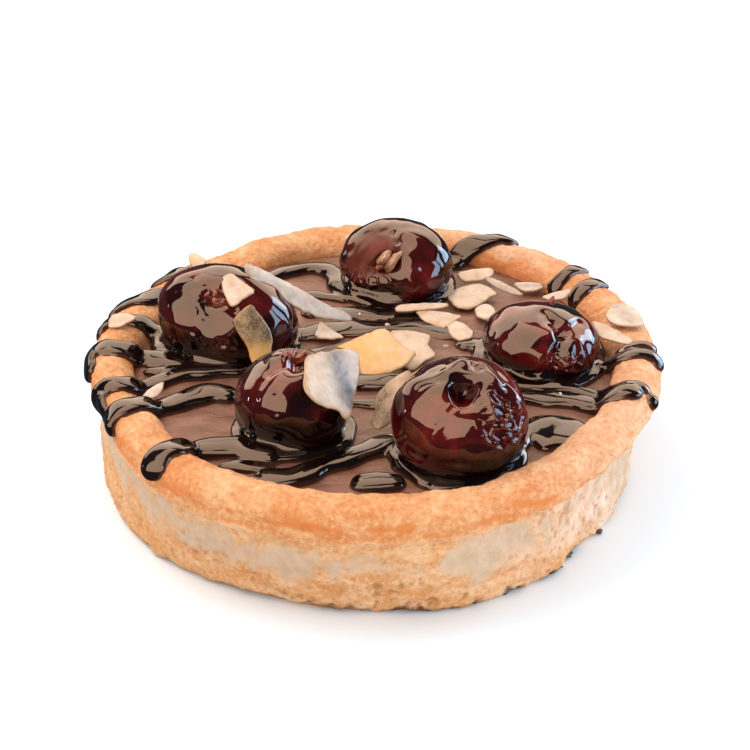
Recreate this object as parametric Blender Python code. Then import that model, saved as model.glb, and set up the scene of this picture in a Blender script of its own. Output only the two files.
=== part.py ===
"""Chocolate cherry tart: a round shortcrust shell filled with chocolate, topped with pitted cherries and
almond flakes. Metres, +Z up. The origin is on the underside, below the middle of the rim.

Each piece is its own solid: the shell, the filling inside it, every cherry, and every flake.
Directions round the tart are angles in degrees from +X, and the tart's front faces -Y.
"""

import math
import random

import bmesh
import bpy
from mathutils import Euler, Matrix, Vector
from mathutils.bvhtree import BVHTree

MM = 0.001
GAP = 0.3 * MM  # what touching pieces keep between them
UP = Vector((0, 0, 1))

# The shell
SEGMENTS = 72
RIM_RADIUS = 45.6 * MM  # to the middle of the rounded rim
RIM_HEIGHT = 19.0 * MM
RIM_HALF_WIDTH = 4.2 * MM
RIM_HALF_HEIGHT = 3.4 * MM
RIM_ARC = (-38, -8, 22, 56, 90, 122, 152)  # degrees round the rim's section, from its outer underside
BASE_RADIUS = 45.7 * MM
BASE_EDGE = 0.9 * MM
WALL_SWELL = 0.8 * MM  # how far the wall's middle stands out past the base
WALL_TOP_RADIUS = 46.7 * MM
WALL_TOP = 15.0 * MM
FLOOR = 4.0 * MM
FLOOR_FILLET = 1.1 * MM
INSIDE_TOP_RADIUS = 41.4 * MM
INSIDE_FLOOR_RADIUS = 40.2 * MM
LEAN = -1.2 * MM  # the wall and base lie this far along X from under the rim's middle
LEAN_START = 10.0 * MM  # up to this height

# Where the hand-pressed shell leaves a true circle: (direction, spread, how far), in degrees and mm
RIM_OUTWARD = (
    (-156, 15, -1.3), (140, 17, -0.9), (100, 12, 0.4), (-35, 14, -0.4), (-75, 16, 0.3), (12, 12, 0.3)
)
RIM_UPWARD = (
    (142, 15, -0.8), (123, 6, -1.1), (95, 14, 0.3), (-60, 16, -0.3), (-120, 14, 0.3), (30, 12, -0.3)
)
BASE_OUTWARD = (
    (-68, 14, 1.7), (-116, 14, -1.2), (-49, 6, 1.4), (-36, 8, -0.7), (70, 18, 0.8), (130, 14, -0.8)
)

# The filling
FILLING_TOP = 19.5 * MM
FILLING_DOME = 0.5 * MM
BRIM = 18.9 * MM  # where the filling meets the shell
FILLING_RINGS = (0.955, 0.84, 0.66, 0.45, 0.22)  # shares of its radius

# Cherries: the middle in plan, the half sizes along X, Y and Z, the height of the middle above the filling,
# the direction that the pit's hole faces, how far the hole reaches in, as a share of the radius, and how many
# degrees the cherry is tipped down to the right.
CHERRIES = {
    "cherry_left": dict(
        at=(-25.4, 8.4), half=(12.5, 10.2, 9.2), lift=5.2, hole=(0.02, -0.62, 0.78), deep=0.3, tip=18
    ),
    "cherry_back": dict(
        at=(4.2, 28.6), half=(10.6, 9.8, 8.0), lift=4.6, hole=(-0.25, -0.84, 0.48), deep=0.4, tip=0
    ),
    "cherry_right": dict(
        at=(29.4, 2.8), half=(10.2, 10.0, 6.2), lift=3.3, hole=(0.62, -0.52, 0.58), deep=0.26, tip=6
    ),
    "cherry_middle": dict(
        at=(-13.4, -20.6), half=(9.7, 9.5, 8.9), lift=5.5, hole=(0.36, 0.02, 0.93), deep=0.3, tip=0
    ),
    "cherry_front": dict(
        at=(14.5, -26.4), half=(11.2, 10.8, 9.8), lift=6.0, hole=(0.12, -0.4, 0.9), deep=0.34, tip=-4
    ),
}
CHERRY_TURNS = 20
CHERRY_RINGS = 12
RING_CROWDING = 1.35  # over 1 draws the rings of points towards the hole
HOLE_HALF_ANGLE = 21  # degrees

# Almond flakes, each placed before those that lie on it: the two ends, the width, the rise of its left side
# in degrees, the outline, the curl across it, and the way that it came from if not from above.
# Each is moved along its way until it just clears what it rests on.
FLAKES = [
    dict(ends=((-22.2, 10.6, 34.2), (-3.5, 12.8, 20.8)), width=6.0, lean=2, outline="sliver", curl=0.5),
    dict(ends=((-24.8, 4.2, 34.6), (-20.6, -0.4, 32.4)), width=5.6, lean=14, outline="wedge", curl=0.3),
    dict(
        ends=((-20.6, 0.4, 31.8), (-19.6, -4.1, 22.2)),
        width=6.2,
        lean=2,
        outline="leaf",
        curl=0.5,
        way=(0.35, -0.85, 0.4),
    ),
    dict(ends=((-9.9, 10.4, 20.9), (-4.8, 8.8, 20.9)), width=4.4, lean=3, outline="wedge", curl=0.2),
    dict(
        ends=((-7.4, -17.6, 33.8), (-4.0, -26.6, 25.8)),
        width=10.2,
        lean=-28,
        outline="broken",
        curl=0.5,
        way=(0.6, -0.3, 0.74),
    ),
    dict(ends=((3.2, 5.2, 21.4), (11.4, -0.6, 21.2)), width=7.6, lean=9, outline="broken", curl=0.4),
    dict(ends=((-6.9, -0.2, 22.4), (6.4, -2.8, 22.8)), width=9.4, lean=26, outline="broken", curl=0.6),
    dict(
        ends=((-0.4, -22.6, 21.6), (4.6, -17.3, 28.4)),
        width=6.4,
        lean=18,
        outline="leaf",
        curl=1.1,
        way=(-0.85, 0.45, 0.3),
    ),
    dict(ends=((7.4, 14.4, 20.9), (15.8, 12.4, 20.9)), width=4.2, lean=3, outline="wedge", curl=0.2),
    dict(ends=((4.6, 17.2, 21.0), (13.2, 17.9, 21.2)), width=2.4, lean=20, outline="sliver", curl=0.2),
    dict(ends=((13.4, 9.6, 20.9), (18.4, 7.8, 20.9)), width=4.6, lean=2, outline="leaf", curl=0.3),
    dict(ends=((13.7, 20.9, 21.0), (21.9, 23.0, 21.1)), width=6.4, lean=3, outline="leaf", curl=0.4),
    dict(ends=((16.0, 28.0, 21.2), (22.4, 29.4, 21.4)), width=3.2, lean=16, outline="broken", curl=0.2),
    dict(ends=((20.6, 27.4, 22.6), (27.2, 22.0, 21.8)), width=3.0, lean=48, outline="sliver", curl=0.2),
    dict(ends=((26.0, 25.8, 21.0), (31.0, 26.0, 21.0)), width=3.2, lean=4, outline="broken", curl=0.2),
    dict(ends=((30.8, 21.4, 21.0), (36.0, 23.8, 21.6)), width=2.6, lean=10, outline="sliver", curl=0.2),
    dict(ends=((18.9, 15.2, 21.0), (22.7, 14.4, 21.0)), width=4.2, lean=2, outline="wedge", curl=0.2),
    dict(ends=((41.2, 13.0, 23.4), (47.4, 9.2, 22.9)), width=6.4, lean=2, outline="leaf", curl=0.4),
    dict(ends=((38.2, 9.6, 21.4), (44.4, 1.8, 23.8)), width=2.8, lean=10, outline="sliver", curl=0.2),
    dict(ends=((-38.9, -12.0, 21.0), (-33.9, -7.7, 21.0)), width=2.6, lean=5, outline="leaf", curl=0.2),
    dict(ends=((-46.2, 10.4, 22.9), (-41.6, 10.9, 23.2)), width=3.6, lean=6, outline="leaf", curl=0.2),
    dict(ends=((-34.2, 33.4, 22.8), (-29.6, 31.8, 23.2)), width=4.0, lean=18, outline="wedge", curl=0.2),
]
FLAKE_THICKNESS = 0.9 * MM
FLAKE_POINTS = 12
FLAKE_INSET = 0.45  # from its edge to its inner ring of points, as a share of the way in
SQUARENESS = {"leaf": 2.1, "sliver": 3.0, "wedge": 2.6, "broken": 4.5}
TAPER = {"leaf": 0.25, "sliver": 0.2, "wedge": 0.62, "broken": 0.12}
CHIPPING = {"leaf": 0.04, "sliver": 0.06, "wedge": 0.06, "broken": 0.11}
LONGEST_MOVE = 12 * MM
MOVE_STEP = 0.1 * MM

# Colour, roughness
FINISHES = {
    "pastry": ((0.78, 0.42, 0.19), 0.75),
    "chocolate": ((0.16, 0.07, 0.04), 0.45),
    "cherry": ((0.08, 0.006, 0.007), 0.12),
    "almond": ((0.80, 0.58, 0.36), 0.5),
}


def clear_scene():
    for obj in list(bpy.data.objects):
        bpy.data.objects.remove(obj, do_unlink=True)


def finish(name):
    """The named material, made once."""
    if name in bpy.data.materials:
        return bpy.data.materials[name]
    colour, roughness = FINISHES[name]
    material = bpy.data.materials.new(name)
    material.use_nodes = True
    shader = material.node_tree.nodes["Principled BSDF"]
    shader.inputs["Base Color"].default_value = (*colour, 1)
    shader.inputs["Roughness"].default_value = roughness
    shader.inputs["Metallic"].default_value = 0
    return material


def add_object(name, bm, material, smooth_angle=40):
    """Puts the finished shape into the scene, smooth but for its sharp edges."""
    bm.normal_update()
    bmesh.ops.recalc_face_normals(bm, faces=bm.faces)
    mesh = bpy.data.meshes.new(name)
    bm.to_mesh(mesh)
    bm.free()
    mesh.shade_smooth()
    mesh.set_sharp_from_angle(angle=math.radians(smooth_angle))
    mesh.materials.append(finish(material))
    obj = bpy.data.objects.new(name, mesh)
    bpy.context.scene.collection.objects.link(obj)
    return obj


def clamp(share):
    return min(1.0, max(0.0, share))


def wander(bumps, angle):
    """The sum of the bumps at this angle, each a smooth rise round its own direction."""
    total = 0.0
    for direction, spread, reach in bumps:
        away = (math.degrees(angle) - direction + 180) % 360 - 180
        total += reach * MM * math.exp(-((away / spread) ** 2))
    return total


def spun(profile):
    """The profile, a list of (radius, height) that starts and ends on the axis, turned once round."""
    bm = bmesh.new()
    line = [bm.verts.new((radius, 0, height)) for radius, height in profile]
    edges = [bm.edges.new(pair) for pair in zip(line, line[1:])]
    bmesh.ops.spin(
        bm, geom=line + edges, cent=(0, 0, 0), axis=UP, angle=2 * math.pi, steps=SEGMENTS, use_merge=True
    )
    bmesh.ops.remove_doubles(bm, verts=bm.verts, dist=0.001 * MM)
    return bm


def press_by_hand(bm):
    """Makes a true round as uneven as the shell: rim and base wander apart, and the wall leans."""
    for vert in bm.verts:
        x, y, height = vert.co
        angle = math.atan2(y, x)
        rim_share = clamp(height / RIM_HEIGHT)
        outward = rim_share * wander(RIM_OUTWARD, angle) + (1 - rim_share) * wander(BASE_OUTWARD, angle)
        lift = clamp((height - WALL_TOP) / (RIM_HEIGHT - WALL_TOP)) * wander(RIM_UPWARD, angle)
        lean = LEAN * (1 - clamp((height - LEAN_START) / (RIM_HEIGHT - LEAN_START)))
        stretch = 1 + outward / RIM_RADIUS
        vert.co = (lean + x * stretch, y * stretch, height + lift)


def inside_radius(height):
    share = (height - FLOOR) / (FILLING_TOP - FLOOR)
    return INSIDE_FLOOR_RADIUS + (INSIDE_TOP_RADIUS - INSIDE_FLOOR_RADIUS) * share


def build_shell():
    profile = [
        (0, 0),
        (0.5 * BASE_RADIUS, 0),
        (BASE_RADIUS - BASE_EDGE, 0),
        (BASE_RADIUS - 0.3 * BASE_EDGE, 0.3 * BASE_EDGE),
        (BASE_RADIUS, BASE_EDGE),
        (BASE_RADIUS + WALL_SWELL, 0.5 * WALL_TOP),
        (WALL_TOP_RADIUS, WALL_TOP),
    ]
    for degrees in RIM_ARC:
        turn = math.radians(degrees)
        outward = RIM_HALF_WIDTH * math.cos(turn)
        profile.append((RIM_RADIUS + outward, RIM_HEIGHT + RIM_HALF_HEIGHT * math.sin(turn)))
    for height in (BRIM, 0.6 * BRIM, FLOOR + FLOOR_FILLET):
        profile.append((inside_radius(height), height))
    profile += [(INSIDE_FLOOR_RADIUS - FLOOR_FILLET, FLOOR), (0, FLOOR)]
    bm = spun(profile)
    press_by_hand(bm)
    return add_object("pastry_shell", bm, "pastry")


def filling_height(x, y):
    """The filling's surface: a low dome with the soft unevenness of a spread cream."""
    r = math.hypot(x, y) / INSIDE_TOP_RADIUS
    waves = 0.25 * math.sin(150 * x + 1.2) * math.cos(120 * y) + 0.2 * math.sin(90 * (x + y))
    level = FILLING_TOP + FILLING_DOME * (1 - r * r) - (FILLING_TOP - BRIM) * r**6
    return level + waves * MM * clamp(1 - r**4)


def build_filling():
    """The filling, with a pocket pressed into it under each cherry."""
    bottom = FLOOR + GAP
    profile = [(0, bottom), (INSIDE_FLOOR_RADIUS - FLOOR_FILLET - GAP, bottom)]
    for height in (FLOOR + FLOOR_FILLET + 0.5 * GAP, 0.6 * BRIM, BRIM):
        profile.append((inside_radius(height) - GAP, height))
    profile += [(share * inside_radius(BRIM), FILLING_TOP) for share in FILLING_RINGS] + [(0, FILLING_TOP)]
    bm = spun(profile)
    press_by_hand(bm)
    for vert in bm.verts:
        if vert.co.z > BRIM - 1 * MM:
            at_brim = math.hypot(vert.co.x, vert.co.y) > FILLING_RINGS[0] * INSIDE_TOP_RADIUS + 1 * MM
            vert.co.z = BRIM if at_brim else filling_height(vert.co.x, vert.co.y)
    filling = add_object("chocolate_filling", bm, "chocolate")
    for name, spec in CHERRIES.items():
        cutter = build_cherry(name + "_pocket", spec, grown=GAP, holed=False)
        cutter.hide_render = True
        cutter.display_type = "WIRE"
        pocket = filling.modifiers.new(name, "BOOLEAN")
        pocket.operation = "DIFFERENCE"
        pocket.solver = "EXACT"
        pocket.object = cutter
    return filling


def build_cherry(name, spec, grown=0.0, holed=True):
    """A cherry: a flattened ball, whose first pole is the middle of the hole that the pit left."""
    bm = bmesh.new()
    bmesh.ops.create_uvsphere(bm, u_segments=CHERRY_TURNS, v_segments=CHERRY_RINGS, radius=1)
    to_hole = Vector(spec["hole"]).to_track_quat("Z", "Y")
    tip = Euler((0, math.radians(spec["tip"]), 0)).to_matrix()
    half = Vector(spec["half"]) * MM + Vector((grown,) * 3)
    middle = Vector((*spec["at"], 0)) * MM + UP * (FILLING_TOP + spec["lift"] * MM)
    for vert in bm.verts:
        polar = math.pi * (math.acos(max(-1.0, min(1.0, vert.co.z))) / math.pi) ** RING_CROWDING
        around = math.atan2(vert.co.y, vert.co.x)
        aside = math.sin(polar)
        ball = Vector((aside * math.cos(around), aside * math.sin(around), math.cos(polar)))
        ball.rotate(to_hole)
        dent = spec["deep"] * math.exp(-((math.degrees(polar) / HOLE_HALF_ANGLE) ** 2)) if holed else 0
        vert.co = middle + tip @ (ball * half) * (1 - dent)
    return add_object(name, bm, "cherry", smooth_angle=60)


def flake_blank():
    """A round plate of radius 1 from z -1 to 1, with an inner ring of points on each side."""
    bm = bmesh.new()
    below = Matrix.Translation(-UP)
    bmesh.ops.create_circle(bm, cap_ends=True, segments=FLAKE_POINTS, radius=1, matrix=below)
    bm.faces.ensure_lookup_table()
    disc = bm.faces[0]
    bmesh.ops.inset_individual(bm, faces=[disc], thickness=FLAKE_INSET)
    bmesh.ops.poke(bm, faces=[disc])
    top = bmesh.ops.extrude_face_region(bm, geom=bm.faces[:])["geom"]
    bmesh.ops.translate(bm, verts=[v for v in top if isinstance(v, bmesh.types.BMVert)], vec=2 * UP)
    return bm


def flake_shape(spec, seed, grown=0.0):
    """One flake about its own middle, its length along X and its width along Y: a thin, curled plate."""
    chance = random.Random(seed)
    kind = spec["outline"]
    reaches = [1 + chance.uniform(-1, 0.4) * CHIPPING[kind] for _ in range(FLAKE_POINTS)]
    half_length = (Vector(spec["ends"][1]) - Vector(spec["ends"][0])).length * MM / 2
    half_width = spec["width"] * MM / 2
    power = 2 / SQUARENESS[kind]
    bm = flake_blank()
    for vert in bm.verts:
        reach = math.hypot(vert.co.x, vert.co.y)
        angle = math.atan2(vert.co.y, vert.co.x)
        reach *= reaches[round(angle / (2 * math.pi) * FLAKE_POINTS) % FLAKE_POINTS]
        along = math.copysign(abs(math.cos(angle)) ** power, math.cos(angle))
        across = math.copysign(abs(math.sin(angle)) ** power, math.sin(angle)) * (1 - TAPER[kind] * along)
        x = along * reach * (half_length + grown)
        y = across * reach * (half_width + grown)
        sag = spec["curl"] * MM * (y / half_width) ** 2
        vert.co = (x, y, vert.co.z * (FLAKE_THICKNESS / 2 + grown) - sag)
    return bm


def flake_pose(spec):
    along = Vector(spec["ends"][1]) - Vector(spec["ends"][0])
    turn = math.atan2(along.y, along.x)
    rise = math.asin(along.z / along.length)
    pose = Euler((0, 0, turn)).to_matrix() @ Euler((0, -rise, 0)).to_matrix()
    pose = pose @ Euler((math.radians(spec["lean"]), 0, 0)).to_matrix()
    return pose.to_4x4()


def inside(tree, point):
    """Whether a point is in a closed solid: a line up from it crosses the surface an odd number of times."""
    crossings = 0
    hit = tree.ray_cast(point, UP)[0]
    while hit is not None:
        crossings += 1
        hit = tree.ray_cast(hit + UP * 0.001 * MM, UP)[0]
    return crossings % 2 == 1


def tree_at(bm, place):
    moved = bm.copy()
    moved.transform(place)
    tree = BVHTree.FromBMesh(moved)
    moved.free()
    return tree


def build_flake(name, spec, seed, pile):
    """One flake, moved along its way until it just clears what it rests on."""
    pose = flake_pose(spec)
    way = Vector(spec.get("way", UP)).normalized()
    start = (Vector(spec["ends"][0]) + Vector(spec["ends"][1])) / 2 * MM
    grown = flake_shape(spec, seed, grown=GAP)

    def stuck(reached):
        middle = start + way * reached
        tree = tree_at(grown, Matrix.Translation(middle) @ pose)
        return any(tree.overlap(other) or inside(other, middle) for other in pile)

    reached = 0.0
    while stuck(reached) and reached < LONGEST_MOVE:
        reached += MOVE_STEP
    while not stuck(reached - MOVE_STEP) and reached > -LONGEST_MOVE:
        reached -= MOVE_STEP
    grown.free()
    place = Matrix.Translation(start + way * reached) @ pose
    shape = flake_shape(spec, seed)
    pile.append(tree_at(shape, place))
    flake = add_object(name, shape, "almond")
    flake.matrix_world = place


def build_tart():
    clear_scene()
    solids = [build_shell(), build_filling()]
    solids += [build_cherry(name, spec) for name, spec in CHERRIES.items()]
    bpy.context.view_layer.update()
    graph = bpy.context.evaluated_depsgraph_get()
    pile = [BVHTree.FromObject(solid, graph) for solid in solids]
    for number, spec in enumerate(FLAKES, start=1):
        build_flake(f"almond_flake_{number:02d}", spec, number, pile)


build_tart()
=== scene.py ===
"""Chocolate cherry tart: its looks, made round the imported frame. Metres, +Z up, and the front faces -Y.

Sizes in the tables are in mm. A direction round the tart is an angle in degrees from +X.
"""

import math
import random

import bmesh
import bpy
import numpy as np
from mathutils import Euler, Matrix, Vector, noise
from mathutils.bvhtree import BVHTree


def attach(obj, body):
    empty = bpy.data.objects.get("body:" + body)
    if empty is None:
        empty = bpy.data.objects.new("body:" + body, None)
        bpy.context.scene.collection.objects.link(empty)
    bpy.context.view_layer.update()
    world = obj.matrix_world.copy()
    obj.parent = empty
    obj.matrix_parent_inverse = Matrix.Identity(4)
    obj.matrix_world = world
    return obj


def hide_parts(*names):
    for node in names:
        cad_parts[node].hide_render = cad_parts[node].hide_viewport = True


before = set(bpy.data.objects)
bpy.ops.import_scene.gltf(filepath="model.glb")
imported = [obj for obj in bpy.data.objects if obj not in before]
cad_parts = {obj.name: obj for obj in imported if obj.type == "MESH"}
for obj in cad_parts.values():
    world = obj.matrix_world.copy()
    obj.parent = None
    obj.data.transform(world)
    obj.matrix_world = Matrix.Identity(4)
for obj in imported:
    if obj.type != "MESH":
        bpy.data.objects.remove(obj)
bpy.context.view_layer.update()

MM = 0.001
FULL_TURN = 6.28

# The shell, as the CAD has it. Each of its bumps is (direction, spread, how far).
RIM_RADIUS = 45.6
RIM_HEIGHT = 19.0
RIM_HALF_WIDTH = 4.2
RIM_HALF_HEIGHT = 3.4
BASE_RADIUS = 45.7
WALL_SWELL = 0.8
WALL_TOP_RADIUS = 46.7
WALL_TOP = 15.0
INSIDE_TOP_RADIUS = 41.4
INSIDE_FLOOR_RADIUS = 40.2
FLOOR_TOP = 4.0
LEAN = -1.2
LEAN_START = 10.0
RIM_OUTWARD = (
    (-156, 15, -1.3), (140, 17, -0.9), (100, 12, 0.4), (-35, 14, -0.4), (-75, 16, 0.3), (12, 12, 0.3)
)
RIM_UPWARD = (
    (142, 15, -0.8), (123, 6, -1.1), (98, 14, -0.6), (-60, 16, -0.3), (-120, 14, 0.3), (30, 12, -0.3)
)
BASE_OUTWARD = (
    (-68, 14, 1.7), (-116, 14, -1.2), (-49, 6, 1.4), (-36, 8, -0.7), (70, 18, 0.8), (130, 14, -0.8)
)
FILLING_TOP = 19.5
FILLING_DOME = 0.5
BRIM = 18.9

# The shell's grid: the radii of its underside, its bottom edge as (inward, height), rows and columns, the
# degrees that the rim's section runs through, and the heights of the rows inside
UNDERSIDE_RADII = (0.5, 16, 30, 40, 43.4, 44.6)
BOTTOM_EDGE = ((0.6, 0.12), (0.2, 0.45))
WALL_ROWS = 46
RIM_ROWS = 54
CRUST_COLUMNS = 820
FIRST_OUTER_ROW = len(UNDERSIDE_RADII)
FIRST_RIM_ROW = FIRST_OUTER_ROW + len(BOTTOM_EDGE) + WALL_ROWS
RIM_TURNS = (-40, 158)
INSIDE_HEIGHTS = (18.8, 17.0, 12.0, 5.0)

# Where the rim runs straight into the wall with hardly a step under it: (direction, spread, how far it fills)
STEPLESS = ((-105, 38, 1.9), (-150, 14, 0.8))

# Where the outside lies further in: (direction, spread, how far at the rim, how far at the wall)
SLIMMED = ((-163, 22, 1.1, 0.8), (-27, 17, 0.1, 1.1), (170, 20, 0.7, 0.4))

# Where the wall's crust is paler as painted light from the right, the rim's inside is baked darker, the lip
# over the seam is thickest and the wall is creased: (direction, spread). The seam is where the wall ends and
# the rim starts.
PAINTED_LIGHT_SIDES = ((-24, 30), (60, 26))
BAKED_INSIDE = (58, 30)
THICK_LIP = (-124, 26)
CREASED_WALL = (-38, 24)
SEAM_HEIGHT = 16.2

# The shell's marks, each (direction, half width in degrees, height, half height, strength)
PALE_PATCHES = (
    (-160, 13, 12.6, 3.2, 0.9), (-142, 14, 12.4, 3.6, 1.0), (-124, 12, 11.2, 3.4, 1.0),
    (-106, 11, 10.0, 3.8, 1.0), (-90, 7, 11.5, 2.4, 0.6), (-66, 10, 11.0, 4.4, 1.0), (-45, 5, 12.5, 3.6, 0.8),
    (-30, 9, 12.0, 4.0, 0.9), (-17, 9, 8.0, 7.0, 1.0), (12, 8, 10.0, 3.5, 0.7), (42, 12, 9.5, 4.0, 1.0),
    (78, 9, 11.0, 3.0, 0.8), (104, 12, 8.5, 3.6, 0.9), (138, 9, 11.0, 3.4, 0.8), (172, 11, 9.0, 4.0, 1.0)
)

# Burns along the bottom edge: (direction, half width in degrees, strength)
BURNS = (
    (-40, 3.0, 1.0), (-49, 3.2, 1.0), (-59, 2.6, 0.9), (-70, 3.2, 1.0), (-82, 9.0, 0.8), (-96, 6.0, 0.6),
    (-118, 10.0, 0.45), (-140, 7.0, 0.4), (-8, 5.0, 0.4), (34, 7.0, 0.8), (72, 5.0, 0.9), (118, 8.0, 0.7),
    (160, 6.0, 0.8)
)

# Where pits lie together: (direction, spread, height)
PIT_CLUSTERS = (
    (-125, 3, 7.5), (-106, 3, 2.6), (-84, 4, 5.5), (-78, 4, 1.8), (-54, 4, 14.0), (-46, 3, 11.5),
    (-30, 6, 5.0), (20, 8, 4.0), (60, 9, 6.0), (95, 8, 3.0), (135, 8, 5.0), (172, 8, 4.0)
)
PITS_IN_CLUSTER = 15
SCATTERED_PITS = 210
PIT_RADIUS = 46
PIT_SEED = 5
RIM_ROWS_WITH_PITS = 8

# Camera
CAMERA_ELEVATION = math.radians(31.2)
CAMERA_ROLL = math.radians(-0.4)
CAMERA_DISTANCE = 0.5
CAMERA_TARGET = Vector((0.00045, 0, 0.0179))
FOCAL_LENGTH = 138
SENSOR_WIDTH = 36


def wave_ball(count, shortest, longest, seed):
    """A smooth random field over points, made of plane waves whose lengths lie between the two given."""
    chance = np.random.default_rng(seed)
    directions = chance.normal(size=(count, 3))
    directions /= np.linalg.norm(directions, axis=1)[:, None]
    lengths = np.exp(chance.uniform(math.log(shortest), math.log(longest), count))
    phases = chance.uniform(0, 2 * math.pi, count)
    weights = lengths / longest

    def field(points):
        angles = points @ (directions * (2 * math.pi / lengths)[:, None]).T + phases
        return (np.sin(angles) * weights).sum(axis=1) / math.sqrt((weights**2).sum() / 2)

    return field


def grain(points, size, shift=0.0):
    """Perlin noise at each point, for grains of about this size."""
    return np.array([noise.noise(p) for p in (points / size + shift).tolist()])


def smoothstep(low, high, value):
    share = np.clip((value - low) / (high - low), 0, 1)
    return share * share * (3 - 2 * share)


def turned_away(degrees, direction):
    return (degrees - direction + 180) % 360 - 180


def nearness(degrees, direction, spread, power=2):
    """1 in this direction round the tart, falling to 0 on both sides of it."""
    return np.exp(-((turned_away(degrees, direction) / spread) ** power))


def wander(bumps, degrees):
    total = np.zeros_like(degrees)
    for direction, spread, reach in bumps:
        total += reach * nearness(degrees, direction, spread)
    return total


def press_by_hand(radius, height, degrees):
    """(x, y, z) in mm of a point of the true round, taken to the shell's uneven one."""
    rim_share = np.clip(height / RIM_HEIGHT, 0, 1)
    outward = rim_share * wander(RIM_OUTWARD, degrees) + (1 - rim_share) * wander(BASE_OUTWARD, degrees)
    lift = np.clip((height - WALL_TOP) / (RIM_HEIGHT - WALL_TOP), 0, 1) * wander(RIM_UPWARD, degrees)
    lean = LEAN * (1 - np.clip((height - LEAN_START) / (RIM_HEIGHT - LEAN_START), 0, 1))
    reach = radius * (1 + outward / RIM_RADIUS)
    turn = np.radians(degrees)
    return np.stack([lean + reach * np.cos(turn), reach * np.sin(turn), height + lift], axis=-1)


def inside_radius(height):
    share = (height - FLOOR_TOP) / (FILLING_TOP - FLOOR_TOP)
    return INSIDE_FLOOR_RADIUS + (INSIDE_TOP_RADIUS - INSIDE_FLOOR_RADIUS) * share


def grid_normals(points):
    """The outward normals of a grid of points, rows along a section and columns round the tart."""
    along = np.gradient(points, axis=0)
    around = np.roll(points, -1, axis=1) - np.roll(points, 1, axis=1)
    normals = np.cross(around, along)
    return normals / np.maximum(np.linalg.norm(normals, axis=2), 1e-12)[..., None]


def grid_faces(rows, columns):
    """Faces of a grid that closes round, with one face over each end row."""
    faces = []
    for i in range(rows - 1):
        for j in range(columns):
            k = (j + 1) % columns
            faces.append((i * columns + j, i * columns + k, (i + 1) * columns + k, (i + 1) * columns + j))
    faces.append(tuple(reversed(range(columns))))
    faces.append(tuple((rows - 1) * columns + j for j in range(columns)))
    return faces


def add_object(name, data):
    obj = bpy.data.objects.new(name, data)
    bpy.context.scene.collection.objects.link(obj)
    return obj


def write_mask(mesh, label, values):
    """One number for each point, which materials read by the mask's name."""
    layer = mesh.attributes.new(label, "FLOAT", "POINT")
    layer.data.foreach_set("value", np.ascontiguousarray(values, dtype=np.float32).ravel())


def mesh_object(name, points, faces, material, masks=None):
    """A smooth-shaded mesh from points in mm, with a number for each point in each named mask."""
    mesh = bpy.data.meshes.new(name)
    mesh.from_pydata((np.asarray(points) * MM).tolist(), [], faces)
    mesh.validate()
    mesh.shade_smooth()
    for label, values in (masks or {}).items():
        write_mask(mesh, label, values)
    mesh.materials.append(material)
    return add_object(name, mesh)


# Materials


class Nodes:
    """A material's node tree, with short calls for the nodes that recur."""

    def __init__(self, name):
        self.material = bpy.data.materials.new(name)
        self.material.use_nodes = True
        self.tree = self.material.node_tree
        self.shader = self.tree.nodes["Principled BSDF"]

    def add(self, kind, **settings):
        node = self.tree.nodes.new(kind)
        for key, value in settings.items():
            setattr(node, key, value)
        return node

    def link(self, source, target):
        self.tree.links.new(source, target)

    def noise(self, scale, detail=4, roughness=0.55, stretch=None):
        """Noise of this scale, squeezed along an axis by its number in stretch."""
        node = self.add("ShaderNodeTexNoise")
        node.inputs["Scale"].default_value = scale
        node.inputs["Detail"].default_value = detail
        node.inputs["Roughness"].default_value = roughness
        source = self.add("ShaderNodeTexCoord").outputs["Object"]
        if stretch:
            mapping = self.add("ShaderNodeMapping")
            mapping.inputs["Scale"].default_value = stretch
            self.link(source, mapping.inputs["Vector"])
            source = mapping.outputs["Vector"]
        self.link(source, node.inputs["Vector"])
        return node.outputs["Fac"]

    def mask(self, name):
        return self.add("ShaderNodeAttribute", attribute_name=name).outputs["Fac"]

    def ramp(self, source, places, *values):
        """Colours or greys along source, one at each place."""
        node = self.add("ShaderNodeValToRGB")
        elements = node.color_ramp.elements
        while len(elements) < len(places):
            elements.new(0.5)
        for element, place, value in zip(elements, places, values):
            element.position = place
            element.color = (*value, 1) if isinstance(value, tuple) else (value, value, value, 1)
        self.link(source, node.inputs["Fac"])
        return node.outputs["Color"]

    def mix(self, share, first, second):
        """Colour first where share is 0 and second where it's 1. Each is a colour or an output."""
        node = self.add("ShaderNodeMix", data_type="RGBA")
        self.link(share, node.inputs["Factor"])
        for socket, value in (("A", first), ("B", second)):
            entry = [s for s in node.inputs if s.name == socket and s.type == "RGBA"][0]
            if isinstance(value, tuple):
                entry.default_value = (*value, 1)
            else:
                self.link(value, entry)
        return [s for s in node.outputs if s.type == "RGBA"][0]

    def math(self, operation, first, second):
        node = self.add("ShaderNodeMath", operation=operation)
        for entry, value in zip(node.inputs, (first, second)):
            if isinstance(value, (int, float)):
                entry.default_value = value
            else:
                self.link(value, entry)
        return node.outputs["Value"]

    def bump(self, height, strength, distance):
        node = self.add("ShaderNodeBump")
        node.inputs["Strength"].default_value = strength
        node.inputs["Distance"].default_value = distance
        self.link(height, node.inputs["Height"])
        self.link(node.outputs["Normal"], self.shader.inputs["Normal"])

    def set(self, **values):
        """Numbers on the shader's own inputs."""
        for key, value in values.items():
            self.shader.inputs[key.replace("_", " ")].default_value = value

    def drive(self, **outputs):
        """Outputs linked to the shader's own inputs."""
        for key, output in outputs.items():
            self.link(output, self.shader.inputs[key.replace("_", " ")])


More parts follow.
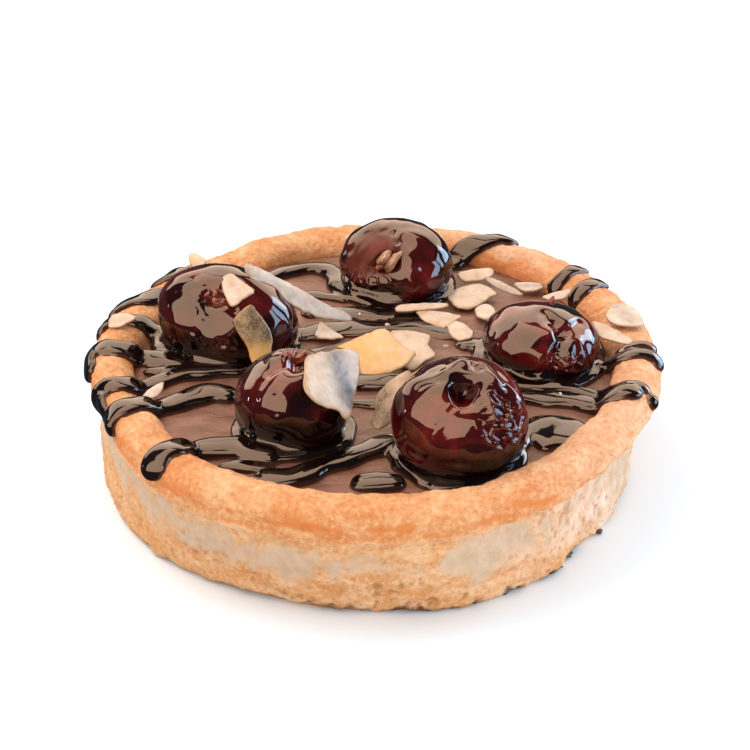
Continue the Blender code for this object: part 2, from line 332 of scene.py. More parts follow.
def pastry_material():
    n = Nodes("pastry")
    cloudy = n.noise(150, detail=6, roughness=0.68, stretch=(1, 1, 2.0))
    clouds = (0.32, 0.49, 0.64)
    rim = n.ramp(cloudy, clouds, (0.66, 0.20, 0.05), (0.76, 0.31, 0.11), (0.85, 0.45, 0.21))
    wall = n.ramp(cloudy, clouds, (0.66, 0.265, 0.08), (0.76, 0.375, 0.155), (0.85, 0.51, 0.285))
    # The paler tone of the right-hand sides is painted light from the window there, on the rim as well
    painted_light = n.ramp(cloudy, clouds, (0.80, 0.45, 0.27), (0.85, 0.58, 0.43), (0.89, 0.68, 0.56))
    painted_light_rim = n.mix(n.math("MULTIPLY", n.mask("painted_light"), 0.45), rim, (0.80, 0.50, 0.33))
    tone = n.mix(n.mask("rim"), n.mix(n.mask("painted_light"), wall, painted_light), painted_light_rim)
    baked = n.mix(n.mask("baked"), tone, (0.74, 0.215, 0.05))
    mottles = n.noise(1100, detail=5, roughness=0.74)
    browned = n.mix(n.ramp(mottles, (0.32, 0.47), 0.8, 0.0), baked, (0.58, 0.18, 0.045))
    dusted = n.ramp(mottles, (0.51, 0.66), 0.0, 0.6)
    flour = n.math("MULTIPLY", dusted, n.math("SUBTRACT", 1.0, n.mask("baked")))
    floured = n.mix(flour, browned, (0.92, 0.58, 0.32))
    # A pale line along the lip just above the seam: a painted highlight
    ridge_highlighted = n.mix(n.mask("edge"), floured, (0.88, 0.58, 0.34))
    smooth = n.ramp(n.noise(500, detail=4), (0.35, 0.65), (0.60, 0.395, 0.25), (0.70, 0.48, 0.32))
    patched = n.mix(n.mask("pale"), ridge_highlighted, smooth)
    # Darker brown in the pits, the more the deeper: painted shade in the hollows
    pit_shaded = n.mix(n.mask("pit"), patched, (0.40, 0.16, 0.045))
    n.drive(Base_Color=n.mix(n.mask("burn"), pit_shaded, (0.05, 0.018, 0.011)))
    n.set(Roughness=0.75, Specular_IOR_Level=0.25)
    height = n.math("ADD", mottles, n.math("MULTIPLY", n.noise(2600, detail=2), 0.3))
    n.bump(height, 1.0, 0.0004)
    return n.material


def filling_material():
    n = Nodes("chocolate")
    tone = n.noise(260, detail=5, roughness=0.65, stretch=(0.5, 1, 1))
    places = (0.3, 0.52, 0.75)
    n.drive(Base_Color=n.ramp(tone, places, (0.10, 0.034, 0.018), (0.17, 0.066, 0.038), (0.25, 0.112, 0.070)))
    n.set(Roughness=0.45, Specular_IOR_Level=0.4)
    n.bump(n.noise(800, detail=5, roughness=0.65, stretch=(0.5, 1, 1)), 0.6, 0.0005)
    return n.material


def sauce_material():
    n = Nodes("sauce")
    dark = n.ramp(n.noise(120, detail=3), (0.35, 0.7), (0.005, 0.0018, 0.0014), (0.012, 0.004, 0.003))
    n.drive(Base_Color=n.mix(n.mask("thin"), dark, (0.085, 0.028, 0.013)))
    n.set(Roughness=0.05, IOR=1.5)
    n.bump(n.noise(260, detail=2), 0.04, 0.0004)
    return n.material


def cherry_material():
    n = Nodes("cherry")
    tone = n.noise(130, detail=4, roughness=0.6)
    places = (0.3, 0.52, 0.75)
    skin = n.ramp(tone, places, (0.012, 0.0007, 0.0009), (0.05, 0.003, 0.0026), (0.16, 0.011, 0.007))
    torn = n.mix(n.mask("torn"), skin, (0.20, 0.030, 0.014))
    red = n.ramp(tone, (0.35, 0.65), (0.06, 0.007, 0.004), (0.15, 0.026, 0.015))
    dull = n.mask("dull")
    # Near-black for the sauce coat and for painted shade on the cherry's lower part
    n.drive(
        Base_Color=n.mix(n.mask("sauce_and_shade"), n.mix(dull, torn, red), (0.006, 0.001, 0.0008)),
        Roughness=n.ramp(dull, (0.0, 1.0), 0.05, 0.35),
        Specular_IOR_Level=n.ramp(dull, (0.0, 1.0), 0.5, 0.1),
    )
    n.set(IOR=1.5)
    n.bump(n.noise(420, detail=3), 0.05, 0.0004)
    return n.material


def flesh_material():
    n = Nodes("cherry_flesh")
    tone = n.noise(600, detail=3)
    places = (0.35, 0.55, 0.75)
    pulp = n.ramp(tone, places, (0.20, 0.07, 0.03), (0.42, 0.22, 0.11), (0.60, 0.40, 0.25))
    red = n.ramp(tone, places, (0.14, 0.012, 0.010), (0.32, 0.05, 0.03), (0.50, 0.14, 0.10))
    n.drive(Base_Color=n.mix(n.mask("red"), pulp, red))
    n.set(Roughness=0.12, IOR=1.45)
    n.bump(n.noise(900, detail=3), 0.3, 0.0003)
    return n.material


def almond_material():
    n = Nodes("almond")
    grain_lines = n.noise(380, detail=5, roughness=0.65)
    places = (0.32, 0.50, 0.68)
    cream = n.ramp(grain_lines, places, (0.43, 0.30, 0.21), (0.57, 0.43, 0.335), (0.67, 0.535, 0.435))
    amber = n.mix(n.mask("amber"), cream, (0.74, 0.35, 0.055))
    clear = n.mix(n.mask("clear"), amber, (0.115, 0.106, 0.112))
    speckled = n.ramp(n.noise(3200, detail=3), (0.42, 0.64), (0.075, 0.048, 0.020), (0.27, 0.195, 0.11))
    skinned = n.mix(n.mask("skin"), clear, speckled)
    n.drive(Base_Color=n.mix(n.mask("browned"), skinned, (0.42, 0.22, 0.09)))
    n.set(Roughness=0.4, Subsurface_Weight=0.15, Subsurface_Scale=0.0008, Specular_IOR_Level=0.4)
    n.bump(n.noise(700, detail=4), 0.25, 0.0003)
    return n.material


def burnt_material():
    n = Nodes("burnt")
    tone = n.noise(600, detail=3)
    n.drive(Base_Color=n.ramp(tone, (0.35, 0.65), (0.03, 0.014, 0.010), (0.16, 0.07, 0.034)))
    n.set(Roughness=0.7)
    n.bump(n.noise(1200, detail=3), 0.5, 0.0004)
    return n.material


def floor_material():
    n = Nodes("floor")
    n.drive(Base_Color=n.ramp(n.noise(3, detail=2), (0.3, 0.7), (0.87, 0.92, 0.94), (0.89, 0.94, 0.96)))
    n.set(Roughness=1.0, Specular_IOR_Level=0.0)
    return n.material


PASTRY = pastry_material()
CHOCOLATE = filling_material()
SAUCE = sauce_material()
CHERRY = cherry_material()
FLESH = flesh_material()
ALMOND = almond_material()
BURNT = burnt_material()


# The shell


def crust_section():
    """(radius, height) along the shell's section, from the middle of its underside to that of its floor."""
    section = [(r, 0.0) for r in UNDERSIDE_RADII]
    section += [(BASE_RADIUS - inward, height) for inward, height in BOTTOM_EDGE]
    for share in np.linspace(0.06, 1.0, WALL_ROWS):
        swell = WALL_SWELL * math.sin(math.pi * share)
        section.append((BASE_RADIUS + (WALL_TOP_RADIUS - BASE_RADIUS) * share + swell, WALL_TOP * share))
    for turn in np.radians(np.linspace(*RIM_TURNS, RIM_ROWS)):
        radius = RIM_RADIUS + RIM_HALF_WIDTH * math.cos(turn)
        section.append((radius, RIM_HEIGHT + RIM_HALF_HEIGHT * math.sin(turn)))
    section += [(inside_radius(z), z) for z in INSIDE_HEIGHTS]
    section += [(r, FLOOR_TOP) for r in (INSIDE_FLOOR_RADIUS - 1.1, 20, 0.5)]
    return np.array(section)


def crust_pits(around, z, coarse, fine):
    """How deep in a pit each point of the shell's grid lies, from 0 to about 1."""
    chance = np.random.default_rng(PIT_SEED)
    pits = []
    for _ in range(SCATTERED_PITS):
        pits.append((chance.uniform(-180, 180), chance.uniform(0.6, 13.5), chance.uniform(0.25, 0.42)))
    for direction, spread, middle in PIT_CLUSTERS:
        for _ in range(PITS_IN_CLUSTER):
            place = (chance.normal(direction, spread), chance.normal(middle, 1.2))
            pits.append((*place, chance.uniform(0.28, 0.6)))
    pit = np.zeros(z.shape)
    mm_per_degree = math.radians(PIT_RADIUS)
    columns_per_degree = CRUST_COLUMNS / 360
    rows = np.arange(FIRST_OUTER_ROW, FIRST_RIM_ROW + RIM_ROWS_WITH_PITS)
    for direction, middle, size in pits:
        centre = int(round((direction + 180) * columns_per_degree))
        reach = int(math.ceil(3 * size / mm_per_degree * columns_per_degree)) + 1
        columns = np.arange(centre - reach, centre + reach + 1) % CRUST_COLUMNS
        block = np.ix_(rows, columns)
        sideways = turned_away(around[block], direction) * mm_per_degree + 0.5 * coarse[block]
        distance = (sideways**2 + (z[block] - middle + 0.7 * fine[block]) ** 2) / size**2
        depth = np.exp(-(distance**1.5)) * (0.5 + 0.6 * min(size, 0.8))
        pit[block] = np.maximum(pit[block], depth)
    return pit


def build_crust():
    section = crust_section()
    degrees = np.linspace(-180, 180, CRUST_COLUMNS, endpoint=False)
    radius = np.repeat(section[:, :1], CRUST_COLUMNS, axis=1)
    height = np.repeat(section[:, 1:], CRUST_COLUMNS, axis=1)
    around = np.repeat(degrees[None, :], len(section), axis=0)
    outer_side = np.zeros(len(section), bool)
    outer_side[FIRST_OUTER_ROW : FIRST_RIM_ROW + RIM_ROWS // 2] = True
    outer = np.repeat(outer_side[:, None], CRUST_COLUMNS, axis=1)

    fill = np.zeros_like(around)
    for direction, spread, reach in STEPLESS:
        fill = np.maximum(fill, reach * nearness(around, direction, spread, 4))
    fill *= smoothstep(4.0, WALL_TOP, height) * (1 - smoothstep(WALL_TOP, 18.5, height))
    points = press_by_hand(radius + np.where(outer, fill, 0), height, around)

    shape = points.shape[:2]
    flat = points.reshape(-1, 3)
    rolling = wave_ball(40, 7, 22, 11)(flat).reshape(shape)
    lumps = wave_ball(60, 2.6, 6, 12)(flat).reshape(shape)
    creases = wave_ball(60, 1.6, 5, 13)(flat * (1, 1, 0.3)).reshape(shape)
    coarse = grain(flat, 1.4).reshape(shape)
    fine = grain(flat, 0.7, 7.3).reshape(shape)
    z = points[..., 2]

    pale = np.zeros(shape)
    for direction, width, middle, tall, strength in PALE_PATCHES:
        away = np.abs(turned_away(around, direction) + lumps * 2.0 + creases * 1.5) / width
        above = np.abs(z - middle + rolling * 0.7 + lumps * 0.6) / tall
        pale = np.maximum(pale, strength * (1 - smoothstep(0.45, 1.35, np.sqrt(away**2 + above**2))))
    pale = np.where(outer, pale * (1 - smoothstep(15.0, 16.0, z - 0.3 * lumps)), 0)

    above_seam = z - (SEAM_HEIGHT + 0.35 * lumps + 0.35 * rolling)
    rim = np.where(outer, smoothstep(-0.3, 0.3, above_seam), smoothstep(15.0, 17.0, z))
    thick = 1 + 1.3 * nearness(around, *THICK_LIP)
    lip = np.where(outer, thick * np.exp(-(((above_seam - 0.35) / 0.4) ** 2)), 0)
    crumbly = np.where(outer, 1 - 0.75 * pale, 1) * np.where(z < 6, 1.25, 1.0)
    # The pits are dents in the crust; the material also darkens them by depth, as painted shade
    pit = crust_pits(around, z, coarse, fine) * (1 - 0.75 * pale)
    burn = np.zeros(shape)
    for direction, spread, strength in BURNS:
        burn = np.maximum(burn, strength * nearness(around, direction, spread, 4))
    burn = np.where(outer, burn * (1 - smoothstep(0.5, 1.5, z + 0.45 * lumps + 0.5 * coarse)), 0)

    creased = nearness(around, *CREASED_WALL, 4) * (1 - rim)
    shift = 0.14 * rolling + 0.10 * lumps * (1 - 0.6 * pale) + 0.12 * creases * creased
    shift += crumbly * (0.17 * coarse + 0.14 * fine)
    shift += np.where(outer, 0.12 * rim + 0.22 * lip, 0)
    shift -= 0.4 * pit + 0.2 * pale
    for direction, spread, at_rim, at_wall in SLIMMED:
        near = nearness(around, direction, spread) * (1 - smoothstep(19.0, 22.0, z))
        inward = at_wall * smoothstep(1.0, 7.0, z) + (at_rim - at_wall) * smoothstep(14.0, 17.0, z)
        shift -= np.where(outer, near * inward, 0)
    shift = np.where(~outer & (z < 16), 0, shift)
    points = points + grid_normals(points) * shift[..., None]
    ragged = 0.28 * np.clip(wave_ball(30, 2.0, 9, 15)(flat).reshape(shape), -0.3, 2)
    points[..., 2] += np.where(outer & (z < 1.2), np.maximum(ragged, 0), 0)
    points[..., 2] = np.maximum(points[..., 2], 0)

    streaks = wave_ball(50, 3, 16, 16)(flat * (1, 1, 3)).reshape(shape)
    band = np.exp(-(((z - 19.3) / 1.9) ** 2)) * np.where(outer, 1, 0.5)
    inside = 0.85 * nearness(around, *BAKED_INSIDE) * (1 - smoothstep(20.6, 22.6, z + 0.4 * lumps))
    baked = np.maximum(rim * band * smoothstep(-0.6, 1.4, streaks), np.where(outer, 0, inside))
    # A pale line just above the seam, along the lip where the rim starts: a painted highlight
    edge = np.where(outer, 0.7 * np.exp(-(((above_seam - 0.25) / 0.35) ** 2)), 0)
    # Painted light: the crust is paler on the right-hand sides, where the window light falls
    painted_light = np.zeros(shape)
    for direction, spread in PAINTED_LIGHT_SIDES:
        painted_light = np.maximum(painted_light, nearness(around + 3 * lumps, direction, spread))
    masks = dict(
        pale=pale, pit=np.clip(0.85 * pit, 0, 0.85), burn=burn, rim=rim, baked=baked,
        edge=edge * smoothstep(-1.2, 0.6, rolling), painted_light=painted_light * smoothstep(1.5, 6.0, z + 1.5 * rolling)
    )
    crust = mesh_object("crust", points.reshape(-1, 3), grid_faces(*shape), PASTRY, masks)
    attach(crust, "root")
    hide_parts("pastry_shell")
    return crust


# The filling

FILLING_COLUMNS = 360
FILLING_ROWS = 110
FILLING_SIDE_HEIGHTS = (FLOOR_TOP + 0.6, 12.0, 17.0)


def filling_height(x, y):
    r = np.hypot(x, y) / INSIDE_TOP_RADIUS
    waves = 0.25 * np.sin(0.150 * x + 1.2) * np.cos(0.120 * y) + 0.2 * np.sin(0.09 * (x + y))
    level = FILLING_TOP + FILLING_DOME * (1 - r * r) - (FILLING_TOP - BRIM) * r**6
    return level + waves * np.clip(1 - r**4, 0, 1)


def build_filling():
    degrees = np.linspace(-180, 180, FILLING_COLUMNS, endpoint=False)
    shares = np.linspace(0.004, 1.0, FILLING_ROWS)[::-1]
    radius = np.repeat((shares * (inside_radius(BRIM) + 0.25))[:, None], FILLING_COLUMNS, axis=1)
    around = np.repeat(degrees[None, :], FILLING_ROWS, axis=0)
    top = press_by_hand(radius, np.full_like(radius, BRIM), around)
    flat = top.reshape(-1, 3)
    swirl = np.stack([flat[:, 0] * 0.35, flat[:, 1], flat[:, 2]], axis=1)
    strokes = wave_ball(50, 0.9, 4.5, 21)(swirl).reshape(radius.shape)
    ripples = grain(swirl, 0.8).reshape(radius.shape)
    top[..., 2] = filling_height(top[..., 0], top[..., 1]) + 0.07 * strokes + 0.05 * ripples
    sides = []
    for height in FILLING_SIDE_HEIGHTS:
        row = np.full((1, FILLING_COLUMNS), inside_radius(height) - 0.3)
        sides.append(press_by_hand(row, np.full_like(row, height), degrees[None, :]))
    points = np.concatenate([*sides, top])
    filling = mesh_object("filling", points.reshape(-1, 3), grid_faces(*points.shape[:2]), CHOCOLATE)
    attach(filling, "root")
    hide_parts("chocolate_filling")
    return filling


# Cherries, as the CAD has them. Some are boxier than a ball, lean forward at the top, are dull on one side
# (middle and half width of that side in degrees), or have their near-black lower part, a sauce coat with
# painted shade, reach further up them, as a share of their height.

CHERRIES = {
    "cherry_left": dict(at=(-25.4, 8.4), half=(12.5, 10.2, 9.2), lift=5.2, tip=18, sauce_and_shade_up_to=-0.1),
    "cherry_back": dict(at=(4.2, 28.6), half=(10.6, 9.8, 8.0), lift=4.6, dull=(-48, 44, 40)),
    "cherry_right": dict(at=(29.4, 2.8), half=(10.2, 10.0, 6.2), lift=3.3, tip=6, overhang=0.3),
    "cherry_middle": dict(
        at=(-13.4, -20.6), half=(9.6, 9.4, 8.8), lift=5.5, boxy=2.2, overhang=0.24, sauce_and_shade_up_to=0.38
    ),
    "cherry_front": dict(at=(14.5, -26.4), half=(11.1, 10.7, 9.7), lift=6.0, tip=-4, boxy=2.15),
}
CHERRY_COLUMNS = 220
CHERRY_ROWS = 130
RING_CROWDING = 1.35

# A direction on a cherry is (degrees right of the front, degrees above the horizon). Each cherry's pit hole
# has a half width in degrees and a depth. The dish round it has a depth and a width in degrees. Depths are
# shares of the radius. Last comes how torn the hole looks.
CHERRY_HOLES = {
    "cherry_left": dict(facing=(-31, 49), wide=9, deep=0.20, dish=0.05, dish_width=24, torn=0.8),
    "cherry_back": dict(facing=(-14, 34), wide=11, deep=0.26, dish=0.03, dish_width=26, torn=0.3),
    "cherry_right": dict(facing=(30, 46), wide=5, deep=0.07, dish=0.0, dish_width=28, torn=0.5),
    "cherry_middle": dict(facing=(80, 76), wide=16, deep=0.20, dish=0.04, dish_width=26, torn=1.0),
    "cherry_front": dict(facing=(5, 58), wide=14, deep=0.34, dish=0.05, dish_width=26, torn=0.0),
}

# Where one lobe of a cherry stands above the next: the line between them, half width of the step and its
# height. The lower lobe is on the left of the line from its first direction to its second. A step fades away
# from the side that shows.
LOBES = {
    "cherry_back": (((2, -12), (21, 82), 19, 0.20),),
    "cherry_front": (((70, 54), (-60, 76), 9, -0.05),),
}
LOBED_SIDE = (-10, 30)

# Folds in the skin, each from one direction to another, with its half width in degrees and its rise
FOLDS = {
    "cherry_left": (
        ((-30, 63), (0, 42), 4, -0.04), ((-80, 20), (-62, 46), 7, 0.025), ((-60, 44), (-38, 66), 5, -0.03),
        ((-42, 36), (-26, 24), 5, 0.025), ((-38, 26), (-30, 2), 4, -0.02), ((-15, 5), (-12, 6), 5, 0.03),
        ((-19, -7), (-17, -8), 4, 0.025), ((-3, -4), (0, -3), 5, 0.025), ((25, 40), (40, 10), 6, -0.03)
    ),
    "cherry_back": (
        ((-16, 84), (7, 64), 3.5, -0.05), ((28, 66), (32, 20), 6, -0.03), ((-6, 46), (-34, 22), 9, -0.13),
        ((-52, -8), (-20, 4), 9, 0.07),
        ((-36, 2), (-30, -16), 4, 0.03), ((5, -12), (26, -14), 4, -0.02), ((-62, 50), (-34, 62), 8, 0.025)
    ),
    "cherry_right": (
        ((-20, 87), (25, 70), 6, -0.08), ((25, 70), (26, 52), 6, -0.10), ((26, 52), (11, 26), 6, -0.09),
        ((11, 26), (4, -7), 6, -0.07), ((82, 53), (26, 52), 6, -0.08), ((6, 66), (10, 46), 5, 0.035),
        ((2, 40), (-8, 8), 6, 0.035), ((34, 42), (22, 6), 4, 0.04), ((44, 40), (38, 4), 4, 0.03)
    ),
    "cherry_middle": (
        ((-100, 70), (150, 80), 4, 0.05), ((-60, 64), (100, 70), 3.5, -0.04),
        ((-56, 52), (-40, 28), 5, -0.025), ((-20, 50), (-14, 26), 5, -0.025), ((30, 34), (26, 12), 5, 0.03)
    ),
    "cherry_front": (
        ((-60, 80), (150, 82), 8, 0.06), ((100, 70), (62, 54), 8, 0.07), ((80, 72), (110, 76), 4, -0.05),
        ((-34, 72), (-62, 54), 4, -0.03), ((2, 45), (-24, 17), 1.6, 0.012),
        ((-11, 47), (-23, 30), 1.6, 0.012), ((63, 31), (60, 24), 5, 0.04), ((74, 44), (70, -2), 4, 0.04),
        ((52, 46), (56, 14), 3, -0.05), ((-45, -6), (-3, -11), 5, -0.022), ((-3, -11), (55, -16), 5, -0.022)
    ),
}

# Where the wet skin puckers: (middle, half width in degrees, rise)
PUCKERS = {
    "cherry_left": (((-31, 49), 14, 0.012),),
    "cherry_back": (((-26, 10), 17, 0.024), ((-50, -6), 14, 0.020)),
    "cherry_right": (((24, 10), 18, 0.028),),
    "cherry_middle": (((170, 76), 22, 0.022),),
    "cherry_front": (((40, 14), 22, 0.045), ((44, 38), 15, 0.034)),
}

# Lumps of flesh in the pit holes and along torn skin: direction, how far out, length and width, how red, and
# how many degrees the length leans to the right as seen from the front
LUMPS = {
    "cherry_left": (
        ((-34, 52), 0.92, 1.3, 0.7, 0.9, 20), ((-28, 45), 0.93, 1.0, 0.6, 0.5, -20),
        ((-40, 47), 0.95, 1.0, 0.6, 1.0, 60)
    ),
    "cherry_back": (
        ((-19, 42), 0.80, 3.4, 1.6, 0.1, 52), ((-3, 38), 0.82, 4.2, 1.8, 0.0, 36),
        ((-22, 28), 0.72, 2.0, 1.2, 0.8, 80)
    ),
    "cherry_right": (((166, 50), 0.97, 1.8, 1.0, 1.0, 30),),
    "cherry_middle": (
        ((-100, 74), 0.90, 3.2, 1.6, 1.0, 70), ((-143, 80), 0.90, 3.0, 1.6, 1.0, 40),
        ((148, 73), 0.90, 3.0, 1.5, 0.9, 60)
    ),
    "cherry_front": (
        ((21, 37), 0.92, 2.0, 1.2, 0.8, 60), ((34, 42), 0.91, 2.4, 1.3, 0.4, 40),
        ((46, 44), 0.92, 2.2, 1.2, 0.7, 10), ((60, 36), 0.93, 1.8, 1.0, 0.4, -20),
        ((48, 32), 0.92, 2.0, 1.1, 0.9, 30), ((30, 32), 0.95, 1.7, 1.4, 1.0, 0)
    ),
}
LUMP_LEAN_BACK = -0.3  # radians
FLESH_SEED = 8


def facing(degrees_right, degrees_up):
    right = math.radians(degrees_right)
    up = math.radians(degrees_up)
    return np.array([math.cos(up) * math.sin(right), -math.cos(up) * math.cos(right), math.sin(up)])


def degrees_from(directions, direction):
    return np.degrees(np.arccos(np.clip(directions @ direction, -1, 1)))


def arc_distance(directions, first, second):
    """Degrees from each direction to the nearest point of the arc between two directions."""
    nearest = np.full(len(directions), 180.0)
    for share in np.linspace(0, 1, 24):
        point = first * (1 - share) + second * share
        nearest = np.minimum(nearest, degrees_from(directions, point / np.linalg.norm(point)))
    return nearest


def cherry_place(spec):
    """A cherry's middle, and the matrix that tips it."""
    middle = np.array([*spec["at"], FILLING_TOP + spec["lift"]])
    return middle, np.array(Euler((0, math.radians(spec.get("tip", 0)), 0)).to_matrix())


def build_cherry(name, seed):
    spec = CHERRIES[name]
    hole = CHERRY_HOLES[name]
    middle, tip = cherry_place(spec)
    to_hole = np.array(Vector(facing(*hole["facing"])).to_track_quat("Z", "Y").to_matrix())
    polar = math.pi * np.linspace(0.004, 0.998, CHERRY_ROWS) ** RING_CROWDING
    turn = np.linspace(0, 2 * math.pi, CHERRY_COLUMNS, endpoint=False)
    polar, turn = np.meshgrid(polar, turn, indexing="ij")
    ball = np.stack([np.sin(polar) * np.cos(turn), np.sin(polar) * np.sin(turn), np.cos(polar)], axis=-1)
    ball = ball.reshape(-1, 3) @ to_hole.T
    away = np.degrees(polar).ravel()

    ragged = wave_ball(24, 0.4, 1.5, seed)(ball)
    wobble = wave_ball(16, 0.9, 2.2, seed + 1)(ball)
    dimples = wave_ball(60, 0.25, 0.7, seed + 2)(ball)
    inside = 1 / (1 + np.exp((away - hole["wide"] * (1 + 0.30 * ragged)) / 2.2))
    dish = np.exp(-((away / hole["dish_width"]) ** 2))
    level = np.hypot(ball[:, 0], ball[:, 1])
    boxy = spec.get("boxy", 2.0)
    swell = (level**boxy + np.abs(ball[:, 2]) ** boxy) ** (-1 / boxy)
    swell += 0.016 * wobble + 0.006 * dimples
    swell -= hole["deep"] * inside * (1 + 0.15 * ragged) + hole["dish"] * dish
    for first, second, width, drop in LOBES.get(name, ()):
        leftward = np.cross(facing(*first), facing(*second))
        leftward /= np.linalg.norm(leftward)
        past = np.degrees(np.arcsin(np.clip(ball @ leftward, -1, 1))) + 3 * ragged
        in_reach = smoothstep(100, 60, degrees_from(ball, facing(*LOBED_SIDE)))
        swell -= drop * smoothstep(-width, width, past) * in_reach
    for first, second, width, rise in FOLDS[name]:
        distance = arc_distance(ball, facing(*first), facing(*second)) * (1 + 0.15 * ragged)
        swell += rise * np.exp(-((distance / width) ** 2))
    ridges = 1 - np.abs(wave_ball(40, 0.14, 0.34, seed + 3)(ball)).clip(0, 1) * 1.6
    torn = inside * hole["torn"]
    for direction, width, rise in PUCKERS[name]:
        near = np.exp(-((degrees_from(ball, facing(*direction)) / width) ** 4))
        swell += rise * near * ridges
        torn = np.maximum(torn, 0.35 * near * (ridges > 0.2))
    points = ((ball * np.array(spec["half"])) @ tip.T) * swell[:, None]
    in_front = smoothstep(4, -4, points[:, 1]) * smoothstep(4, -3, points[:, 0])
    points[:, 1] -= spec.get("overhang", 0) * points[:, 2] * in_front

    drips = wave_ball(40, 0.5, 1.6, seed + 4)(ball)
    # The near-black lower part is a sauce coat and painted shade where the cherry sits low; drips add sauce
    up_to = spec.get("sauce_and_shade_up_to", -0.21)
    sauce_and_shade = 1 - smoothstep(up_to - 0.24, up_to + 0.23, ball[:, 2] - 0.12 * drips)
    sauce_and_shade = np.maximum(sauce_and_shade, 0.8 * smoothstep(0.7, 1.3, drips))
    dull = np.zeros(len(ball))
    if "dull" in spec:
        right, up, wide = spec["dull"]
        dull = 1 - smoothstep(wide - 12, wide + 8, degrees_from(ball, facing(right, up)) + 4 * ragged)
    masks = dict(torn=np.clip(torn, 0, 1), sauce_and_shade=sauce_and_shade, dull=dull)
    faces = grid_faces(CHERRY_ROWS, CHERRY_COLUMNS)
    cherry = mesh_object(name + "_skin", points + middle, faces, CHERRY, masks)
    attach(cherry, "root")
    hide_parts(name)


def blob(place, size, squash=1.0):
    bm = bmesh.new()
    bmesh.ops.create_icosphere(bm, subdivisions=3, radius=size)
    points = np.array([v.co for v in bm.verts]) * (1, 1, squash) + place
    faces = [tuple(v.index for v in f.verts) for f in bm.faces]
    bm.free()
    return points, faces


def uneven_blob(unevenness, shortest, longest, chance):
    points, faces = blob(np.zeros(3), 1.0)
    field = wave_ball(14, shortest, longest, int(chance.integers(1000)))
    return points * (1 + unevenness * field(points)[:, None]), faces


def join(parts):
    points = []
    faces = []
    count = 0
    for part_points, part_faces in parts:
        points.append(part_points)
        faces += [tuple(k + count for k in face) for face in part_faces]
        count += len(part_points)
    return np.concatenate(points), faces


def build_flesh():
    """The torn flesh of every cherry as one piece of small uneven lumps."""
    chance = np.random.default_rng(FLESH_SEED)
    parts = []
    red = []
    for name, lumps in LUMPS.items():
        middle, tip = cherry_place(CHERRIES[name])
        for direction, out, long, wide, redness, lean in lumps:
            place = middle + tip @ (facing(*direction) * np.array(CHERRIES[name]["half"])) * out
            points, faces = uneven_blob(0.16, 0.8, 2.0, chance)
            turn = np.array(Euler((LUMP_LEAN_BACK, math.radians(lean), 0)).to_matrix())
            points = (points * (wide, wide, long) / 2) @ turn.T + place
            parts.append((points, faces))
            red.append(np.full(len(points), redness))
    points, faces = join(parts)
    flesh = mesh_object("cherry_flesh", points, faces, FLESH, dict(red=np.concatenate(red)))
    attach(flesh, "root")


# The sauce: each stroke's half width and height, then its way over filling and rim

